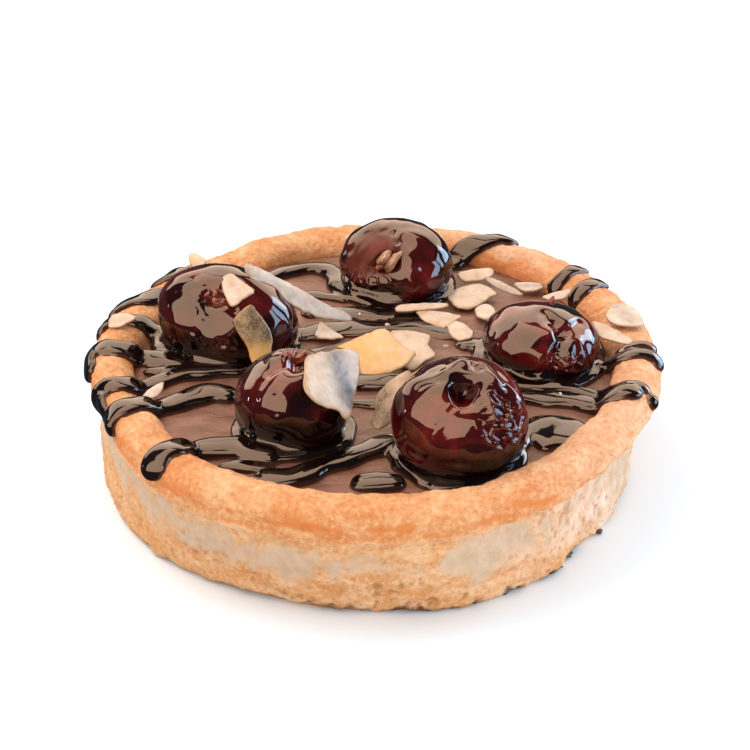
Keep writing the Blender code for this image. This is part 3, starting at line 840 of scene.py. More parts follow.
STROKES = (
    (2.0, 1.3, [
        (-41.5, 30.5, 19.5), (-39.5, 29.6, 21.8), (-36.6, 29.6, 22.4), (-33.9, 30.3, 21.5),
        (-32.0, 28.2, 21.2)
    ]),
    (2.0, 1.4, [
        (-46.6, 14.6, 20.4), (-45.4, 17.2, 21.5), (-42.6, 19.0, 21.7), (-40.5, 19.6, 21.9),
        (-38.4, 21.6, 21.6), (-35.0, 22.5, 19.6), (-31.0, 18.0, 19.4)
    ]),
    (2.0, 1.5, [
        (-47.6, 7.9, 20.6), (-46.8, 11.4, 21.4), (-44.6, 12.2, 22.1), (-42.1, 12.0, 21.9),
        (-40.2, 12.4, 20.8), (-38.4, 12.4, 19.2), (-34.4, 11.1, 19.2)
    ]),
    (2.3, 1.6, [
        (-48.2, -4.4, 20.0), (-48.8, -0.1, 20.9), (-48.2, 2.1, 21.4), (-46.3, 2.1, 22.2), (-43.8, 1.7, 22.0),
        (-41.5, 3.0, 20.0), (-38.9, 3.4, 19.2), (-35.6, 1.8, 19.4), (-31.7, 1.3, 19.5)
    ]),
    (2.0, 1.5, [
        (-44.9, -17.7, 18.6), (-45.9, -15.0, 19.9), (-46.4, -12.4, 20.7), (-46.0, -10.7, 21.7),
        (-44.6, -10.2, 22.2), (-41.9, -9.6, 21.6), (-39.7, -6.8, 19.2), (-36.9, -5.4, 19.3),
        (-34.1, -3.6, 19.6), (-31.2, -2.2, 19.6), (-28.1, -2.0, 19.6), (-24.7, -1.6, 19.6),
        (-21.2, -1.2, 19.5)
    ]),
    (2.4, 1.9, [
        (-44.6, -20.6, 18.1), (-44.1, -18.7, 20.3), (-43.1, -18.1, 21.7), (-41.4, -17.4, 22.2),
        (-38.7, -15.9, 21.2), (-36.4, -13.6, 19.2), (-33.7, -12.6, 19.4), (-31.1, -11.2, 19.6),
        (-28.5, -9.9, 19.6), (-25.7, -9.9, 19.7), (-22.9, -11.4, 19.7)
    ]),
    (2.4, 1.9, [
        (-35.6, -35.3, 18.9), (-35.5, -33.0, 21.1), (-34.3, -31.3, 22.1), (-32.2, -29.9, 21.6),
        (-30.0, -27.2, 19.4), (-27.4, -26.6, 19.3), (-24.7, -26.5, 19.5), (-22.0, -26.6, 19.7),
        (-19.3, -28.0, 19.7), (-15, -29.6, 19.7)
    ]),
    (2.2, 1.7, [
        (-21.2, -36.4, 19.6), (-18.9, -35.9, 19.2), (-16.5, -35.5, 19.2), (-13.5, -35.4, 19.3),
        (-10.9, -34.4, 19.4), (-8.4, -32.5, 19.5), (-5.4, -31.0, 19.5), (-2.5, -28.9, 19.5),
        (0.2, -26.8, 19.5), (2.5, -25.0, 19.5), (5.4, -24.3, 19.4)
    ]),
    (2.2, 1.5, [
        (-3.9, -37.0, 19.3), (-1.8, -36.8, 19.3), (0.8, -36.6, 19.3), (3.4, -36.8, 19.3), (5.5, -37.3, 19.2)
    ]),
    (1.9, 1.4, [
        (3.0, -25.6, 19.5), (4.2, -28.9, 19.4), (5.6, -32.4, 19.4), (8.0, -35.6, 19.3), (10.6, -37.6, 19.1)
    ]),
    (2.2, 1.7, [
        (13.7, 34.8, 19.2), (15.4, 37.9, 19.4), (17.4, 38.9, 20.9), (20.0, 39.6, 21.9), (22.8, 40.5, 22.4),
        (25.6, 42.2, 22.0), (27.6, 43.4, 20.2)
    ]),
    (1.6, 1.3, [
        (31.9, 25.3, 18.9), (33.5, 26.0, 20.5), (35.3, 27.3, 21.8), (37.6, 29.5, 22.3), (40.0, 31.0, 21.5)
    ]),
    (1.6, 1.3, [
        (35.6, 20.6, 19.6), (36.9, 21.8, 21.1), (38.9, 23.7, 22.2), (41.2, 25.6, 22.3), (43.6, 26.8, 20.6)
    ]),
    (1.3, 1.1, [
        (41.4, -0.2, 20.4), (44.4, 1.2, 22.1), (46.2, 2.4, 22.3), (48.0, 2.4, 21.8), (49.4, 2.0, 20.4)
    ]),
    (1.4, 1.2, [
        (38.2, -1.0, 19.2), (41.0, -0.9, 20.4), (43.1, -1.6, 21.7), (45.2, -1.4, 22.3), (47.4, -0.7, 22.0),
        (49.2, -1.2, 20.9), (49.8, -2.2, 19.2)
    ]),
    (1.4, 1.1, [
        (24.0, -6.9, 19.8), (28.7, -8.0, 19.7), (32.1, -8.0, 19.6), (35.5, -8.9, 19.4), (38.9, -10.4, 19.3),
        (41.2, -11.6, 21.2), (43.6, -11.6, 22.4), (45.6, -11.5, 22.0), (47.0, -12.4, 21.1)
    ]),
    (2.0, 1.5, [
        (22.8, -11.2, 19.8), (28.8, -11.9, 19.7), (31.9, -12.0, 19.6), (34.6, -12.4, 19.4),
        (36.9, -13.4, 19.2), (39.4, -14.0, 20.0), (41.4, -14.3, 22.1), (43.4, -13.8, 22.3),
        (45.6, -12.8, 21.9)
    ]),
    (4.4, 1.3, [(25.0, -21.7, 19.6), (28.8, -22.1, 19.4), (31.3, -22.4, 19.2), (34.0, -22.2, 19.0)]),
    (2.0, 1.0, [
        (-12.9, 17.6, 20.0), (-8.4, 17.9, 20.0), (-3.9, 17.4, 20.0), (0.5, 16.7, 20.0), (6, 17, 20),
        (12, 17, 20)
    ]),
    (2.6, 1.0, [
        (-13.5, 10.1, 19.8), (-9.2, 11.0, 20.0), (-4.8, 11.6, 20.1), (-0.4, 12.0, 20.2), (4.1, 12.5, 20.1),
        (8.5, 12.5, 20.1), (12.9, 10.7, 20.1), (18, 10.2, 20)
    ]),
    (1.6, 0.7, [
        (-22.0, -2.6, 19.6), (-17.0, -1.0, 19.6), (-12.0, 3.2, 19.8), (-6.5, 5.0, 20.0), (-1.0, 6.6, 20.1)
    ]),
    (2.0, 1.3, [
        (-4.0, -6.2, 20.0), (-0.4, -6.6, 20.0), (2.2, -6.7, 20.1), (5.7, -6.2, 20.1), (12.7, -4.2, 20.1)
    ]),
    (1.2, 0.9, [(-5.0, -12.8, 19.8), (-0.8, -12.8, 19.8), (3.6, -13.4, 19.8)]),
    (2.0, 1.5, [
        (-20.0, 28.6, 19.6), (-18.3, 30.9, 19.5), (-15.8, 33.4, 19.4), (-13.2, 34.5, 19.3),
        (-10.6, 34.8, 19.4), (-8.2, 33.8, 19.5), (-6.6, 30.4, 19.7), (-6.2, 25.7, 19.9)
    ]),
    (1.3, 0.8, [(-13.0, 24.1, 20.0), (-10.1, 24.1, 20.0), (-7.2, 23.4, 19.9), (-4.0, 22.3, 19.9)]),
    (1.8, 1.0, [(14.5, 5.5, 20.1), (17.2, 6.7, 20.0), (20.0, 7.2, 19.9)]),
)
DROPLET = (46.9, -13.4, 20.2)
DROPLET_SIZE = 1.7
DROPLET_SQUASH = 0.9

# Rings of sauce round each cherry's foot: how far past the ring where the cherry meets the filling, half
# width and height
POOL_RINGS = ((-0.9, 2.0, 3.0), (0.9, 2.3, 1.3))
RING_POINTS = 25

# Flat pools between the strokes: place, half sizes along x and y, height
POOLS = (
    ((-36.6, 2.6), (3.4, 2.6), 1.0),
    ((-31.6, 3.4), (4.4, 3.4), 1.1),
    ((-33.4, -1.8), (5.6, 1.9), 1.0),
    ((-25.2, -1.4), (4.6, 1.8), 1.0),
    ((-30.6, -10.9), (5.4, 2.0), 1.1),
    ((6.6, -31.0), (3.4, 5.2), 1.1),
    ((12.0, -37.2), (4.6, 2.0), 1.0),
    ((30.4, -21.4), (6.6, 4.6), 1.2),
    ((22.4, -18.2), (3.4, 3.0), 1.0),
    ((-20.0, -31.0), (5.0, 2.2), 0.9),
)
POOL_ROWS = 16
POOL_COLUMNS = 40
SAUCE_SEED = 3

# How a stroke lies: it is lower on the rim, from the first radius to the second, and it reaches this deep
STROKE_STEP = 0.5
STROKE_SIDES = 20
STROKE_FLATNESS = 3.0
STROKE_DEPTH = 0.8
SMOOTHING_ROUNDS = 6
RIM_SHARE_OF_RISE = 0.68
RIM_FROM = (41.0, 43.5)

# How the joined strokes melt into one: voxel size, smoothing, the share of faces kept, and the depths between
# which sauce stops being see-through
SAUCE_VOXEL = 0.26
SAUCE_SMOOTHING = 0.6
SAUCE_SMOOTHINGS = 9
SAUCE_SHARE_KEPT = 0.54
THIN_SAUCE = (0.12, 0.75)


def smooth_line(line, step):
    """Points a step apart along a Catmull-Rom curve through the line's points."""
    line = np.array(line, float)
    padded = np.concatenate([[2 * line[0] - line[1]], line, [2 * line[-1] - line[-2]]])
    curve = []
    for a, b, c, d in zip(padded, padded[1:], padded[2:], padded[3:]):
        pieces = max(2, int(np.linalg.norm(c - b) / step))
        for share in np.arange(pieces) / pieces:
            curve.append(
                0.5 * (2 * b + (c - a) * share + (2 * a - 5 * b + 4 * c - d) * share**2
                       + (3 * b - a - 3 * c + d) * share**3)
            )
    curve.append(line[-1])
    return np.array(curve)


def flattened(value):
    """A sine or cosine pushed out, so that the section it draws has a flat top and steep sides."""
    return math.copysign(abs(value) ** (2 / STROKE_FLATNESS), value)


def under_trees(objects):
    bpy.context.view_layer.update()
    graph = bpy.context.evaluated_depsgraph_get()
    return [BVHTree.FromObject(obj, graph) for obj in objects]


def on_ground(trees, point):
    """The nearest place on the ground and the way out from it, in mm."""
    best = None
    for tree in trees:
        place, normal, _, distance = tree.find_nearest(Vector(point) * MM)
        if best is None or distance < best[2]:
            best = (np.array(place) / MM, np.array(normal), distance)
    return best[0], best[1]


def tube(line, half_width, rise, trees, chance, closed=False):
    """(points, faces) of a stroke that lies on the ground, with round ends unless it closes on itself."""
    placed = [on_ground(trees, p) for p in smooth_line(line, STROKE_STEP)]
    places = np.array([p for p, _ in placed])
    normals = np.array([n for _, n in placed])
    for _ in range(SMOOTHING_ROUNDS):
        inner_normals = (normals[:-2] + normals[1:-1] + normals[2:]) / 3
        inner_places = (places[:-2] + 2 * places[1:-1] + places[2:]) / 4
        normals = np.concatenate([normals[:1], inner_normals, normals[-1:]])
        places = np.concatenate([places[:1], inner_places, places[-1:]])
    normals /= np.linalg.norm(normals, axis=1)[:, None]
    run = np.concatenate([[0], np.cumsum(np.linalg.norm(np.diff(places, axis=0), axis=1))])
    sides = np.cross(np.gradient(places, axis=0), normals)
    sides /= np.linalg.norm(sides, axis=1)[:, None]
    phase = chance.uniform(0, FULL_TURN)
    points = []
    for place, normal, side, along in zip(places, normals, sides, run):
        from_end = min(along, run[-1] - along)
        rounding = 1.0 if closed else math.sqrt(max(0.02, 1 - max(0, 1 - from_end / half_width) ** 2))
        uneven = 1 + 0.10 * math.sin(along / 2.7 + phase) + 0.06 * math.sin(along / 1.1 + 2 * phase)
        lowered = 1 - (1 - RIM_SHARE_OF_RISE) * float(smoothstep(*RIM_FROM, math.hypot(place[0], place[1])))
        for turn in np.linspace(0, 2 * math.pi, STROKE_SIDES, endpoint=False):
            sine = flattened(math.sin(turn))
            up = (rise * lowered if sine > 0 else STROKE_DEPTH) * rounding * sine
            out = half_width * rounding * uneven * flattened(math.cos(turn))
            points.append(place + side * out + normal * up)
    return np.array(points), grid_faces(len(places), STROKE_SIDES)


def flat_pool(place, half, rise, chance):
    """(points, faces) of a pool with a level top, steep rounded edges and an uneven outline."""
    phases = [chance.uniform(0, FULL_TURN) for _ in range(3)]
    height = float(filling_height(np.array(place[0]), np.array(place[1])))
    points = []
    for polar in np.linspace(0.05, math.pi - 0.05, POOL_ROWS):
        out = flattened(math.sin(polar))
        up = flattened(-math.cos(polar))
        for turn in np.linspace(0, 2 * math.pi, POOL_COLUMNS, endpoint=False):
            uneven = 1 + sum(0.07 * math.sin((k + 2) * turn + phase) for k, phase in enumerate(phases))
            x = place[0] + half[0] * out * uneven * math.cos(turn)
            y = place[1] + half[1] * out * uneven * math.sin(turn)
            points.append((x, y, height + (rise if up > 0 else STROKE_DEPTH) * up))
    return np.array(points), grid_faces(POOL_ROWS, POOL_COLUMNS)


def foot_ring(spec, past, chance):
    """A closed line round a cherry's foot, a little past the ring where it meets the filling."""
    share = math.sqrt(1 - (spec["lift"] / spec["half"][2]) ** 2)
    phase = chance.uniform(0, FULL_TURN)
    ring = []
    for turn in np.linspace(0, 2 * math.pi, RING_POINTS):
        reach = 1 + 0.05 * math.sin(3 * turn + phase) + 0.03 * math.sin(5 * turn + 2 * phase)
        x = spec["at"][0] + (spec["half"][0] * share + past) * reach * math.cos(turn)
        y = spec["at"][1] + (spec["half"][1] * share + past) * reach * math.sin(turn)
        ring.append((x, y, FILLING_TOP))
    return ring


def build_sauce(ground):
    trees = under_trees(ground)
    chance = random.Random(SAUCE_SEED)
    parts = [tube(line, half_width, rise, trees, chance) for half_width, rise, line in STROKES]
    parts.append(blob(np.array(DROPLET), DROPLET_SIZE, DROPLET_SQUASH))
    parts += [flat_pool(place, half, rise, chance) for place, half, rise in POOLS]
    for spec in CHERRIES.values():
        for past, half_width, rise in POOL_RINGS:
            ring = foot_ring(spec, past, chance)
            parts.append(tube(ring, half_width, rise, trees, chance, closed=True))
    raw = mesh_object("sauce_raw", *join(parts), SAUCE)
    remesh = raw.modifiers.new("remesh", "REMESH")
    remesh.mode = "VOXEL"
    remesh.voxel_size = SAUCE_VOXEL * MM
    remesh.use_smooth_shade = True
    smooth = raw.modifiers.new("smooth", "SMOOTH")
    smooth.factor = SAUCE_SMOOTHING
    smooth.iterations = SAUCE_SMOOTHINGS
    raw.modifiers.new("thinned", "DECIMATE").ratio = SAUCE_SHARE_KEPT
    bpy.context.view_layer.update()
    graph = bpy.context.evaluated_depsgraph_get()
    mesh = bpy.data.meshes.new_from_object(raw.evaluated_get(graph))
    bpy.data.objects.remove(raw, do_unlink=True)
    depths = []
    for vertex in mesh.vertices:
        depths.append(min(tree.find_nearest(vertex.co)[3] for tree in trees) / MM)
    write_mask(mesh, "thin", 1 - smoothstep(*THIN_SAUCE, np.array(depths)))
    mesh.name = "sauce"
    mesh.shade_smooth()
    sauce = add_object("sauce", mesh)
    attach(sauce, "root")
    return sauce


# Almond flakes by number: how far each curls, how strongly it is amber, clear or dark-skinned, then its
# outline in its own plane, about the middle of its CAD node. A tilt is the plane's normal, where it isn't the
# node's, and a streak is where the clear or dark-skinned part runs: its two ends and its half width.

FLAKES = {
    1: dict(
        curl=0.3, clear=0.12, tilt=(0.548, -0.48, 0.684),
        outline=[
            (-11.1, 2.0), (-7.3, 1.9), (-4.4, 0.9), (-1.5, 0.5), (6.8, -2.1), (8.4, -2.3), (10.9, -2.4),
            (11.6, -3.1), (10.9, -4.0), (8.9, -4.3), (5.1, -4.7), (0.6, -4.1), (-2.5, -3.1), (-7.2, -2.0),
            (-10.1, -0.4)
        ],
    ),
    2: dict(
        curl=0.3, amber=0.15, clear=0.1,
        outline=[
            (-2.7, 4.9), (-1.9, 5.5), (-0.8, 5.5), (1.3, 3.6), (3.4, 1.8), (1.9, 0.5), (0.2, -1.3),
            (-0.8, -1.7), (-1.6, -0.2), (-2.5, 2.4)
        ],
    ),
    3: dict(
        curl=0.5, amber=1.2, skin=0.95,
        outline=[
            (-0.8, 5.6), (-2.3, 4.8), (-4.1, 3.1), (-3.6, 1.4), (-2.4, -0.5), (-1.5, -2.3), (-0.9, -4.5),
            (-0.2, -5.6), (1.2, -4.6), (2.3, -3.5), (2.6, -1.8), (2.8, 0.2), (1.6, 2.5)
        ],
    ),
    4: dict(
        curl=0.2, amber=0.1, clear=0.1,
        outline=[(-1.7, 3.4), (-0.6, 2.0), (0.9, 0.2), (2.8, -2.5), (0.2, -2.9), (-2.7, -2.1), (-2.2, 0.8)],
    ),
    5: dict(
        curl=0.5, amber=0.12, clear=0.9, streak=((-0.8, 3.6), (2.4, -3.2), 2.0),
        outline=[
            (-6.7, 1.8), (-4.4, 3.3), (-2.3, 4.3), (0.2, 5.7), (2.4, 6.7), (3.9, 6.5), (4.5, 4.8), (4.3, 1.4),
            (3.6, -1.4), (3.2, -3.8), (2.8, -6.3), (1.9, -7.2), (1.1, -7.1), (0.2, -6.1), (-1.4, -6.5),
            (-4.4, -6.7), (-6.8, -5.7), (-7.3, -4.3), (-6.9, -1.1)
        ],
    ),
    6: dict(
        curl=0.4, amber=0.25, clear=0.1,
        outline=[
            (-4.4, 5.6), (-0.9, 4.9), (2.8, 4.0), (2.9, 2.5), (2.4, 0.6), (4.1, -1.8), (1.8, -4.0),
            (-0.3, -6.0), (-2.4, -4.6), (-3.0, 1.2)
        ],
    ),
    7: dict(
        curl=0.6, amber=1.1,
        outline=[
            (-6.2, 1.7), (-3.4, 2.7), (-0.6, 4.0), (2.3, 5.4), (3.6, 4.2), (4.9, 2.2), (6.6, 0.2),
            (8.4, -0.8), (7.0, -2.6), (5.2, -3.7), (2.8, -4.5), (0.4, -4.7), (-1.7, -4.3), (-2.2, -1.3),
            (-3.1, 0.8), (-4.8, 1.2)
        ],
    ),
    8: dict(
        curl=1.0, amber=0.4, skin=0.9, streak=((0.4, 0.9), (-1.0, -3.4), 1.7),
        outline=[
            (4.2, 5.0), (2.8, 4.4), (0.7, 3.2), (-1.3, 1.6), (-1.7, -0.1), (-1.5, -1.8), (-2.6, -3.5),
            (-1.4, -4.9), (0.0, -4.5), (1.2, -3.5), (2.1, -2.0), (2.9, -0.1), (3.8, 1.9), (4.9, 4.3)
        ],
    ),
    9: dict(
        curl=0.3, amber=0.3,
        outline=[
            (-4.0, 2.5), (-1.2, 2.6), (2.0, 1.8), (4.5, 0.6), (3.7, -0.9), (1.5, -3.4), (-0.6, -2.3),
            (-2.7, -0.3)
        ],
    ),
    10: dict(
        curl=0.1, amber=0.25,
        outline=[
            (-4.8, -1.3), (-4.2, -0.4), (-0.3, 0.1), (4.5, 0.0), (4.8, -0.9), (-0.3, -1.8), (-4.4, -2.0)
        ],
    ),
    11: dict(
        curl=0.2, amber=0.2,
        outline=[
            (-2.7, 3.7), (-1.0, 3.9), (0.8, 2.8), (2.1, 0.1), (1.7, -1.9), (-0.3, -2.8), (-1.8, -1.4),
            (-2.6, 1.3)
        ],
    ),
    12: dict(
        curl=0.4, amber=0.3, clear=0.1,
        outline=[
            (-4.5, 0.4), (-3.4, 2.3), (-0.8, 4.2), (1.9, 4.5), (3.5, 2.8), (4.9, 1.1), (3.4, 0.1),
            (1.9, -2.1), (-0.5, -3.7), (-3.0, -3.3)
        ],
    ),
    13: dict(
        curl=0.2, amber=0.35,
        outline=[(-3.7, 1.3), (-0.9, 2.4), (2.6, 2.7), (3.1, 1.9), (2.7, 0.4), (0.1, -0.7), (-2.8, -1.0)],
    ),
    14: dict(
        curl=0.1, clear=0.1,
        outline=[
            (-3.9, 2.0), (-2.3, 1.4), (0.2, 0.1), (3.5, -2.3), (3.6, -2.9), (1.5, -2.2), (-1.4, -0.6),
            (-3.5, 1.0)
        ],
    ),
    15: dict(
        curl=0.2, amber=0.1, clear=0.5,
        outline=[(-3.1, 1.4), (-0.7, 2.0), (2.2, 1.9), (2.7, -0.1), (1.0, -1.0), (-1.4, -0.9)],
    ),
    16: dict(
        curl=0.1, amber=0.1,
        outline=[(-3.1, -2.1), (-0.9, -0.9), (2.4, 0.1), (2.5, -1.0), (1.0, -2.6), (-1.4, -3.0)],
    ),
    17: dict(
        curl=0.2, amber=0.2,
        outline=[(-2.5, 2.5), (-1.4, 3.8), (0.0, 4.0), (1.4, 2.1), (0.6, -0.5), (-0.7, -1.8), (-2.1, -0.3)],
    ),
    18: dict(
        curl=0.3, amber=0.1, clear=0.3,
        outline=[
            (-3.1, -0.6), (-1.7, 2.3), (0.2, 3.4), (2.2, 1.5), (3.5, -1.3), (3.7, -3.6), (1.7, -4.6),
            (-0.7, -4.3), (-2.6, -2.8)
        ],
    ),
    19: dict(
        curl=0.1, amber=0.15, tilt=(-0.15, -0.4, 0.9),
        outline=[
            (-3.1, 0.2), (-0.9, -0.7), (1.8, -2.7), (3.9, -4.7), (3.4, -5.7), (0.6, -4.7), (-1.7, -3.6),
            (-2.5, -2.0)
        ],
    ),
    20: dict(
        curl=0.1, amber=0.1,
        outline=[(-2.9, -2.7), (-1.4, 0.1), (0.2, 1.9), (1.0, 2.0), (0.8, -0.1), (-0.3, -2.2), (-1.9, -2.9)],
    ),
    21: dict(
        curl=0.2, amber=0.25,
        outline=[(-2.5, -0.6), (-1.8, 1.4), (0.2, 1.5), (2.6, 0.1), (1.8, -1.3), (-0.3, -2.6), (-2.2, -2.7)],
    ),
    22: dict(
        curl=0.2, amber=0.5,
        outline=[(-1.7, 1.5), (-0.0, 1.3), (2.1, -1.2), (1.1, -2.6), (-1.2, -2.1)],
    ),
}
FLAKE_THICKNESS = 0.45
FLAKE_RINGS = (0.02, 0.22, 0.4, 0.56, 0.7, 0.82, 0.91, 0.965, 1.0)
FLAKE_EDGE_STEP = 0.35
FLAKE_EDGE_WOBBLE = 0.045
CORNER_SHARE = 0.2


def node_plane(name, tilt=None):
    """(middle, along, across, normal) of a flat CAD node, in mm."""
    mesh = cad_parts[name].data
    points = np.array([v.co for v in mesh.vertices]) / MM
    middle = (points.min(axis=0) + points.max(axis=0)) / 2
    normal = np.array(tilt) if tilt else np.linalg.svd(points - points.mean(axis=0))[2][2]
    normal = normal / np.linalg.norm(normal)
    normal = normal * (1 if normal[2] > 0 else -1)
    along = np.array([1.0, 0, 0]) - normal * normal[0]
    along /= np.linalg.norm(along)
    return middle, along, np.cross(normal, along), normal


def in_space(points):
    return np.concatenate([points, np.zeros((len(points), 1))], axis=1)


def flake_edge(outline, seed):
    """Points close together along the outline, with its corners cut and a slight wobble."""
    outline = np.array(outline)
    corners = []
    for before, here, after in zip(np.roll(outline, 1, axis=0), outline, np.roll(outline, -1, axis=0)):
        corners += [here + (before - here) * CORNER_SHARE, here + (after - here) * CORNER_SHARE]
    edge = []
    for first, second in zip(corners, corners[1:] + corners[:1]):
        count = max(1, int(np.linalg.norm(second - first) / FLAKE_EDGE_STEP))
        edge += [first + (second - first) * k / count for k in range(count)]
    edge = np.array(edge)
    centre = edge.mean(axis=0)
    wobble = np.stack([wave_ball(12, 0.8, 2.5, seed + k)(in_space(edge)) for k in (0, 1)], axis=1)
    return edge + FLAKE_EDGE_WOBBLE * wobble, centre


def build_flake(name, spec, seed):
    middle, along, across, normal = node_plane(name, spec.get("tilt"))
    edge, centre = flake_edge(spec["outline"], seed)
    spread = edge - centre
    flat = in_space(np.array([centre + spread * share for share in FLAKE_RINGS]).reshape(-1, 2))
    axes = np.linalg.svd(spread - spread.mean(axis=0), full_matrices=False)[2]
    local = (flat[:, :2] - centre) @ axes.T
    across_share = np.abs(local[:, 1] / np.abs(spread @ axes[1]).max())
    waves = 0.07 * wave_ball(14, 2.0, 6.0, seed + 50)(flat) + 0.02 * grain(flat + seed, 0.7)
    share = np.repeat(FLAKE_RINGS, len(edge))
    half = FLAKE_THICKNESS / 2 * (1 - 0.45 * smoothstep(0.93, 1.0, share))
    level = flat[:, :1] * along + flat[:, 1:2] * across
    lift = waves - spec["curl"] * across_share**2
    rings = len(FLAKE_RINGS)
    upper = (level + (lift + half)[:, None] * normal).reshape(rings, -1, 3)
    lower = (level + (lift - half)[:, None] * normal).reshape(rings, -1, 3)[::-1]
    points = middle + np.concatenate([upper, lower]).reshape(-1, 3)

    mottled = 0.5 + 0.5 * wave_ball(30, 0.7, 3.0, seed + 90)(flat)
    clear_part = np.clip(1.15 - 2.6 * across_share**1.2 + 0.4 * (mottled - 0.5), 0, 1)
    skin_part = smoothstep(-3.2, 0.4, flat[:, 1]) * (0.75 + 0.25 * mottled)
    if "streak" in spec:
        start, end, half_streak = spec["streak"]
        way = np.array(end) - start
        run = np.clip((flat[:, :2] - start) @ way / (way @ way), 0, 1)
        from_streak = np.linalg.norm(flat[:, :2] - start - run[:, None] * way, axis=1) / half_streak
        clear_part = skin_part = np.exp(-(from_streak**2)) * (0.8 + 0.4 * mottled)
    parts = dict(
        clear=spec.get("clear", 0) * clear_part,
        skin=spec.get("skin", 0) * skin_part,
        amber=spec.get("amber", 0) * (0.68 + 0.2 * (mottled - 0.5) - 0.035 * flat[:, 0]),
        browned=0.75 * smoothstep(0.9, 1.0, share + 0.03 * wave_ball(20, 1.0, 3.0, seed + 70)(flat)),
    )
    masks = {}
    for label, values in parts.items():
        grid = np.clip(values, 0, 1).reshape(rings, -1)
        masks[label] = np.concatenate([grid, grid[::-1]]).ravel()
    flake = mesh_object(name + "_slice", points, grid_faces(2 * rings, len(edge)), ALMOND, masks)
    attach(flake, "root")
    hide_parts(name)


# Crumbs: smallest and largest size, thickness as a share of it, the height from which the nearest ground is
# found, and places in plan

ALMOND_CRUMBS = dict(
    size=(0.5, 1.2), thickness=0.5, height=21.0,
    places=(
        (12.9, 5.8), (24.4, -3.8), (-2.2, 15.8), (17.4, 3.7), (9.7, 3.8), (26.8, 25.6), (18.4, 22.0),
        (-12.7, 6.5), (2.8, 11.5), (31.9, -11.8)
    ),
)
BURNT_CRUMBS = dict(
    size=(0.7, 1.7), thickness=0.6, height=0.5,
    places=(
        (31.0, -33.4), (26.4, -35.6), (21.3, -40.2), (13.9, -41.2), (7.6, -43.6), (1.0, -44.4), (-3.9, -43.2),
        (33.0, -30.4), (17.5, -41.4), (38.0, -23.3), (28.8, -34.8), (-24.0, 38.6), (12.0, 46.0),
        (-44.6, 14.0), (40.2, 22.0)
    ),
)


def build_crumbs(name, spec, material, ground, seed):
    """Small angular bits, each on the ground at its nearest point to a place at this height, as one piece."""
    chance = np.random.default_rng(seed)
    trees = under_trees(ground)
    parts = []
    for x, y in spec["places"]:
        points, faces = uneven_blob(0.22, 0.9, 2.4, chance)
        sides = np.array([1.0, chance.uniform(0.5, 0.9), spec["thickness"]])
        points = points * (sides * chance.uniform(*spec["size"]) / 2)
        turn = np.array(Euler((*chance.uniform(-0.25, 0.25, 2), chance.uniform(0, FULL_TURN))).to_matrix())
        points = points @ turn.T + on_ground(trees, (x, y, spec["height"]))[0]
        points[:, 2] = np.maximum(points[:, 2], 0)
        parts.append((points, faces))
    crumbs = mesh_object(name, *join(parts), material)
    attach(crumbs, "root")


# Light, floor and camera

WARM = (1.0, 0.64, 0.43)
SKY = (0.52, 0.75, 1.0)
POWER_PER_AREA = 4


def panel(name, direction, size, colour, brightness, distance=0.7, in_gloss=True, on_matt=True, aside=0.0):
    """A rectangular light that faces the tart from a direction: (degrees right of the front, degrees up)."""
    light = bpy.data.lights.new(name, "AREA")
    light.shape = "RECTANGLE"
    light.size, light.size_y = size
    light.color = colour
    light.energy = POWER_PER_AREA * brightness * size[0] * size[1]
    obj = add_object(name, light)
    way = Vector(facing(*direction))
    turn = way.to_track_quat("Z", "Y")
    obj.location = way * distance + turn @ Vector((aside, 0, 0))
    obj.rotation_euler = turn.to_euler()
    obj.visible_glossy = in_gloss
    obj.visible_diffuse = on_matt


def build_world():
    """Soft light from all round, which the gloss shows as a dim blue."""
    world = bpy.data.worlds.new("room")
    bpy.context.scene.world = world
    world.use_nodes = True
    tree = world.node_tree
    tree.nodes.clear()
    mix = tree.nodes.new("ShaderNodeMixShader")
    path = tree.nodes.new("ShaderNodeLightPath")
    tree.links.new(path.outputs["Is Glossy Ray"], mix.inputs["Fac"])
    for entry, colour, strength in ((1, (0.97, 0.98, 1.0, 1), 1.02), (2, (0.05, 0.12, 0.15, 1), 0.6)):
        light = tree.nodes.new("ShaderNodeBackground")
        light.inputs["Color"].default_value = colour
        light.inputs["Strength"].default_value = strength
        tree.links.new(light.outputs["Background"], mix.inputs[entry])
    out = tree.nodes.new("ShaderNodeOutputWorld")
    tree.links.new(mix.outputs["Shader"], out.inputs["Surface"])


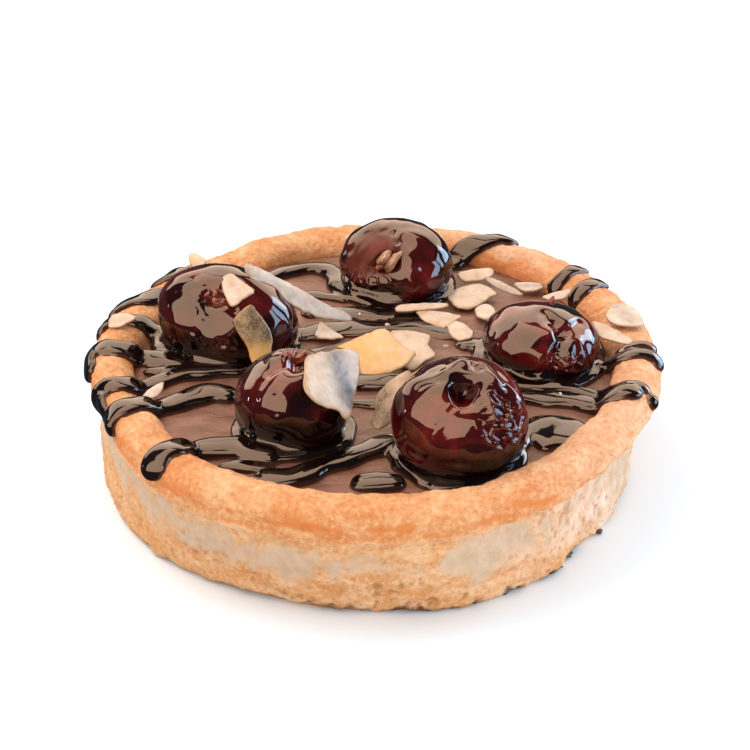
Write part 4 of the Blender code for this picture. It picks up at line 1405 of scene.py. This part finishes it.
def build_stage():
    mesh = bpy.data.meshes.new("floor")
    bm = bmesh.new()
    bmesh.ops.create_grid(bm, x_segments=1, y_segments=1, size=4)
    bm.to_mesh(mesh)
    bm.free()
    mesh.materials.append(floor_material())
    floor = add_object("floor", mesh)
    floor.visible_glossy = False

    panel("card_behind", (180, 29), (1.9, 0.42), (1.0, 0.72, 0.53), 3.4, on_matt=False)
    panel("card_in_front", (-38, 34), (1.15, 0.78), WARM, 4.8, on_matt=False)
    panel("card_overhead", (-38, 93.5), (0.67, 0.82), WARM, 4.6, on_matt=False, aside=0.24)
    panel("window_right", (78, 11), (0.17, 0.42), SKY, 6.5)
    panel("window_right_middle", (99, 11), (0.20, 0.42), SKY, 6.5, on_matt=False)
    panel("window_right_back", (126, 11), (0.22, 0.42), SKY, 6.5)
    panel("lamp_left", (-95, 8), (0.012, 0.10), (1.0, 0.95, 0.9), 30.0, on_matt=False)
    panel("soft_key", (-110, 58), (0.6, 0.6), (1.0, 0.99, 0.97), 2.3, distance=0.8, in_gloss=False)
    panel("low_fill_right", (52, 5), (0.6, 0.13), (0.90, 0.96, 1.0), 4.0, distance=0.8, in_gloss=False)
    build_world()
    bpy.context.scene.view_settings.view_transform = "Standard"


def build_camera():
    back = Vector((0, -math.cos(CAMERA_ELEVATION), math.sin(CAMERA_ELEVATION)))
    up = Vector((0, math.sin(CAMERA_ELEVATION), math.cos(CAMERA_ELEVATION)))
    right = Vector((1, 0, 0))
    rolled_right = math.cos(CAMERA_ROLL) * right + math.sin(CAMERA_ROLL) * up
    rolled_up = math.cos(CAMERA_ROLL) * up - math.sin(CAMERA_ROLL) * right
    data = bpy.data.cameras.new("camera")
    data.sensor_width = SENSOR_WIDTH
    data.lens = FOCAL_LENGTH
    camera = add_object("camera", data)
    place = Matrix((rolled_right, rolled_up, back)).transposed().to_4x4()
    place.translation = CAMERA_TARGET + back * CAMERA_DISTANCE
    camera.matrix_world = place
    bpy.context.scene.camera = camera


build_camera()
build_stage()
crust = build_crust()
filling = build_filling()
for order, name in enumerate(CHERRIES):
    build_cherry(name, seed=100 + 10 * order)
build_flesh()
sauce = build_sauce([crust, filling])
for number, spec in FLAKES.items():
    build_flake(f"almond_flake_{number:02d}", spec, seed=199 + number)
build_crumbs("almond_crumbs", ALMOND_CRUMBS, ALMOND, [filling, sauce], seed=31)
build_crumbs("burnt_crumbs", BURNT_CRUMBS, BURNT, [crust], seed=32)
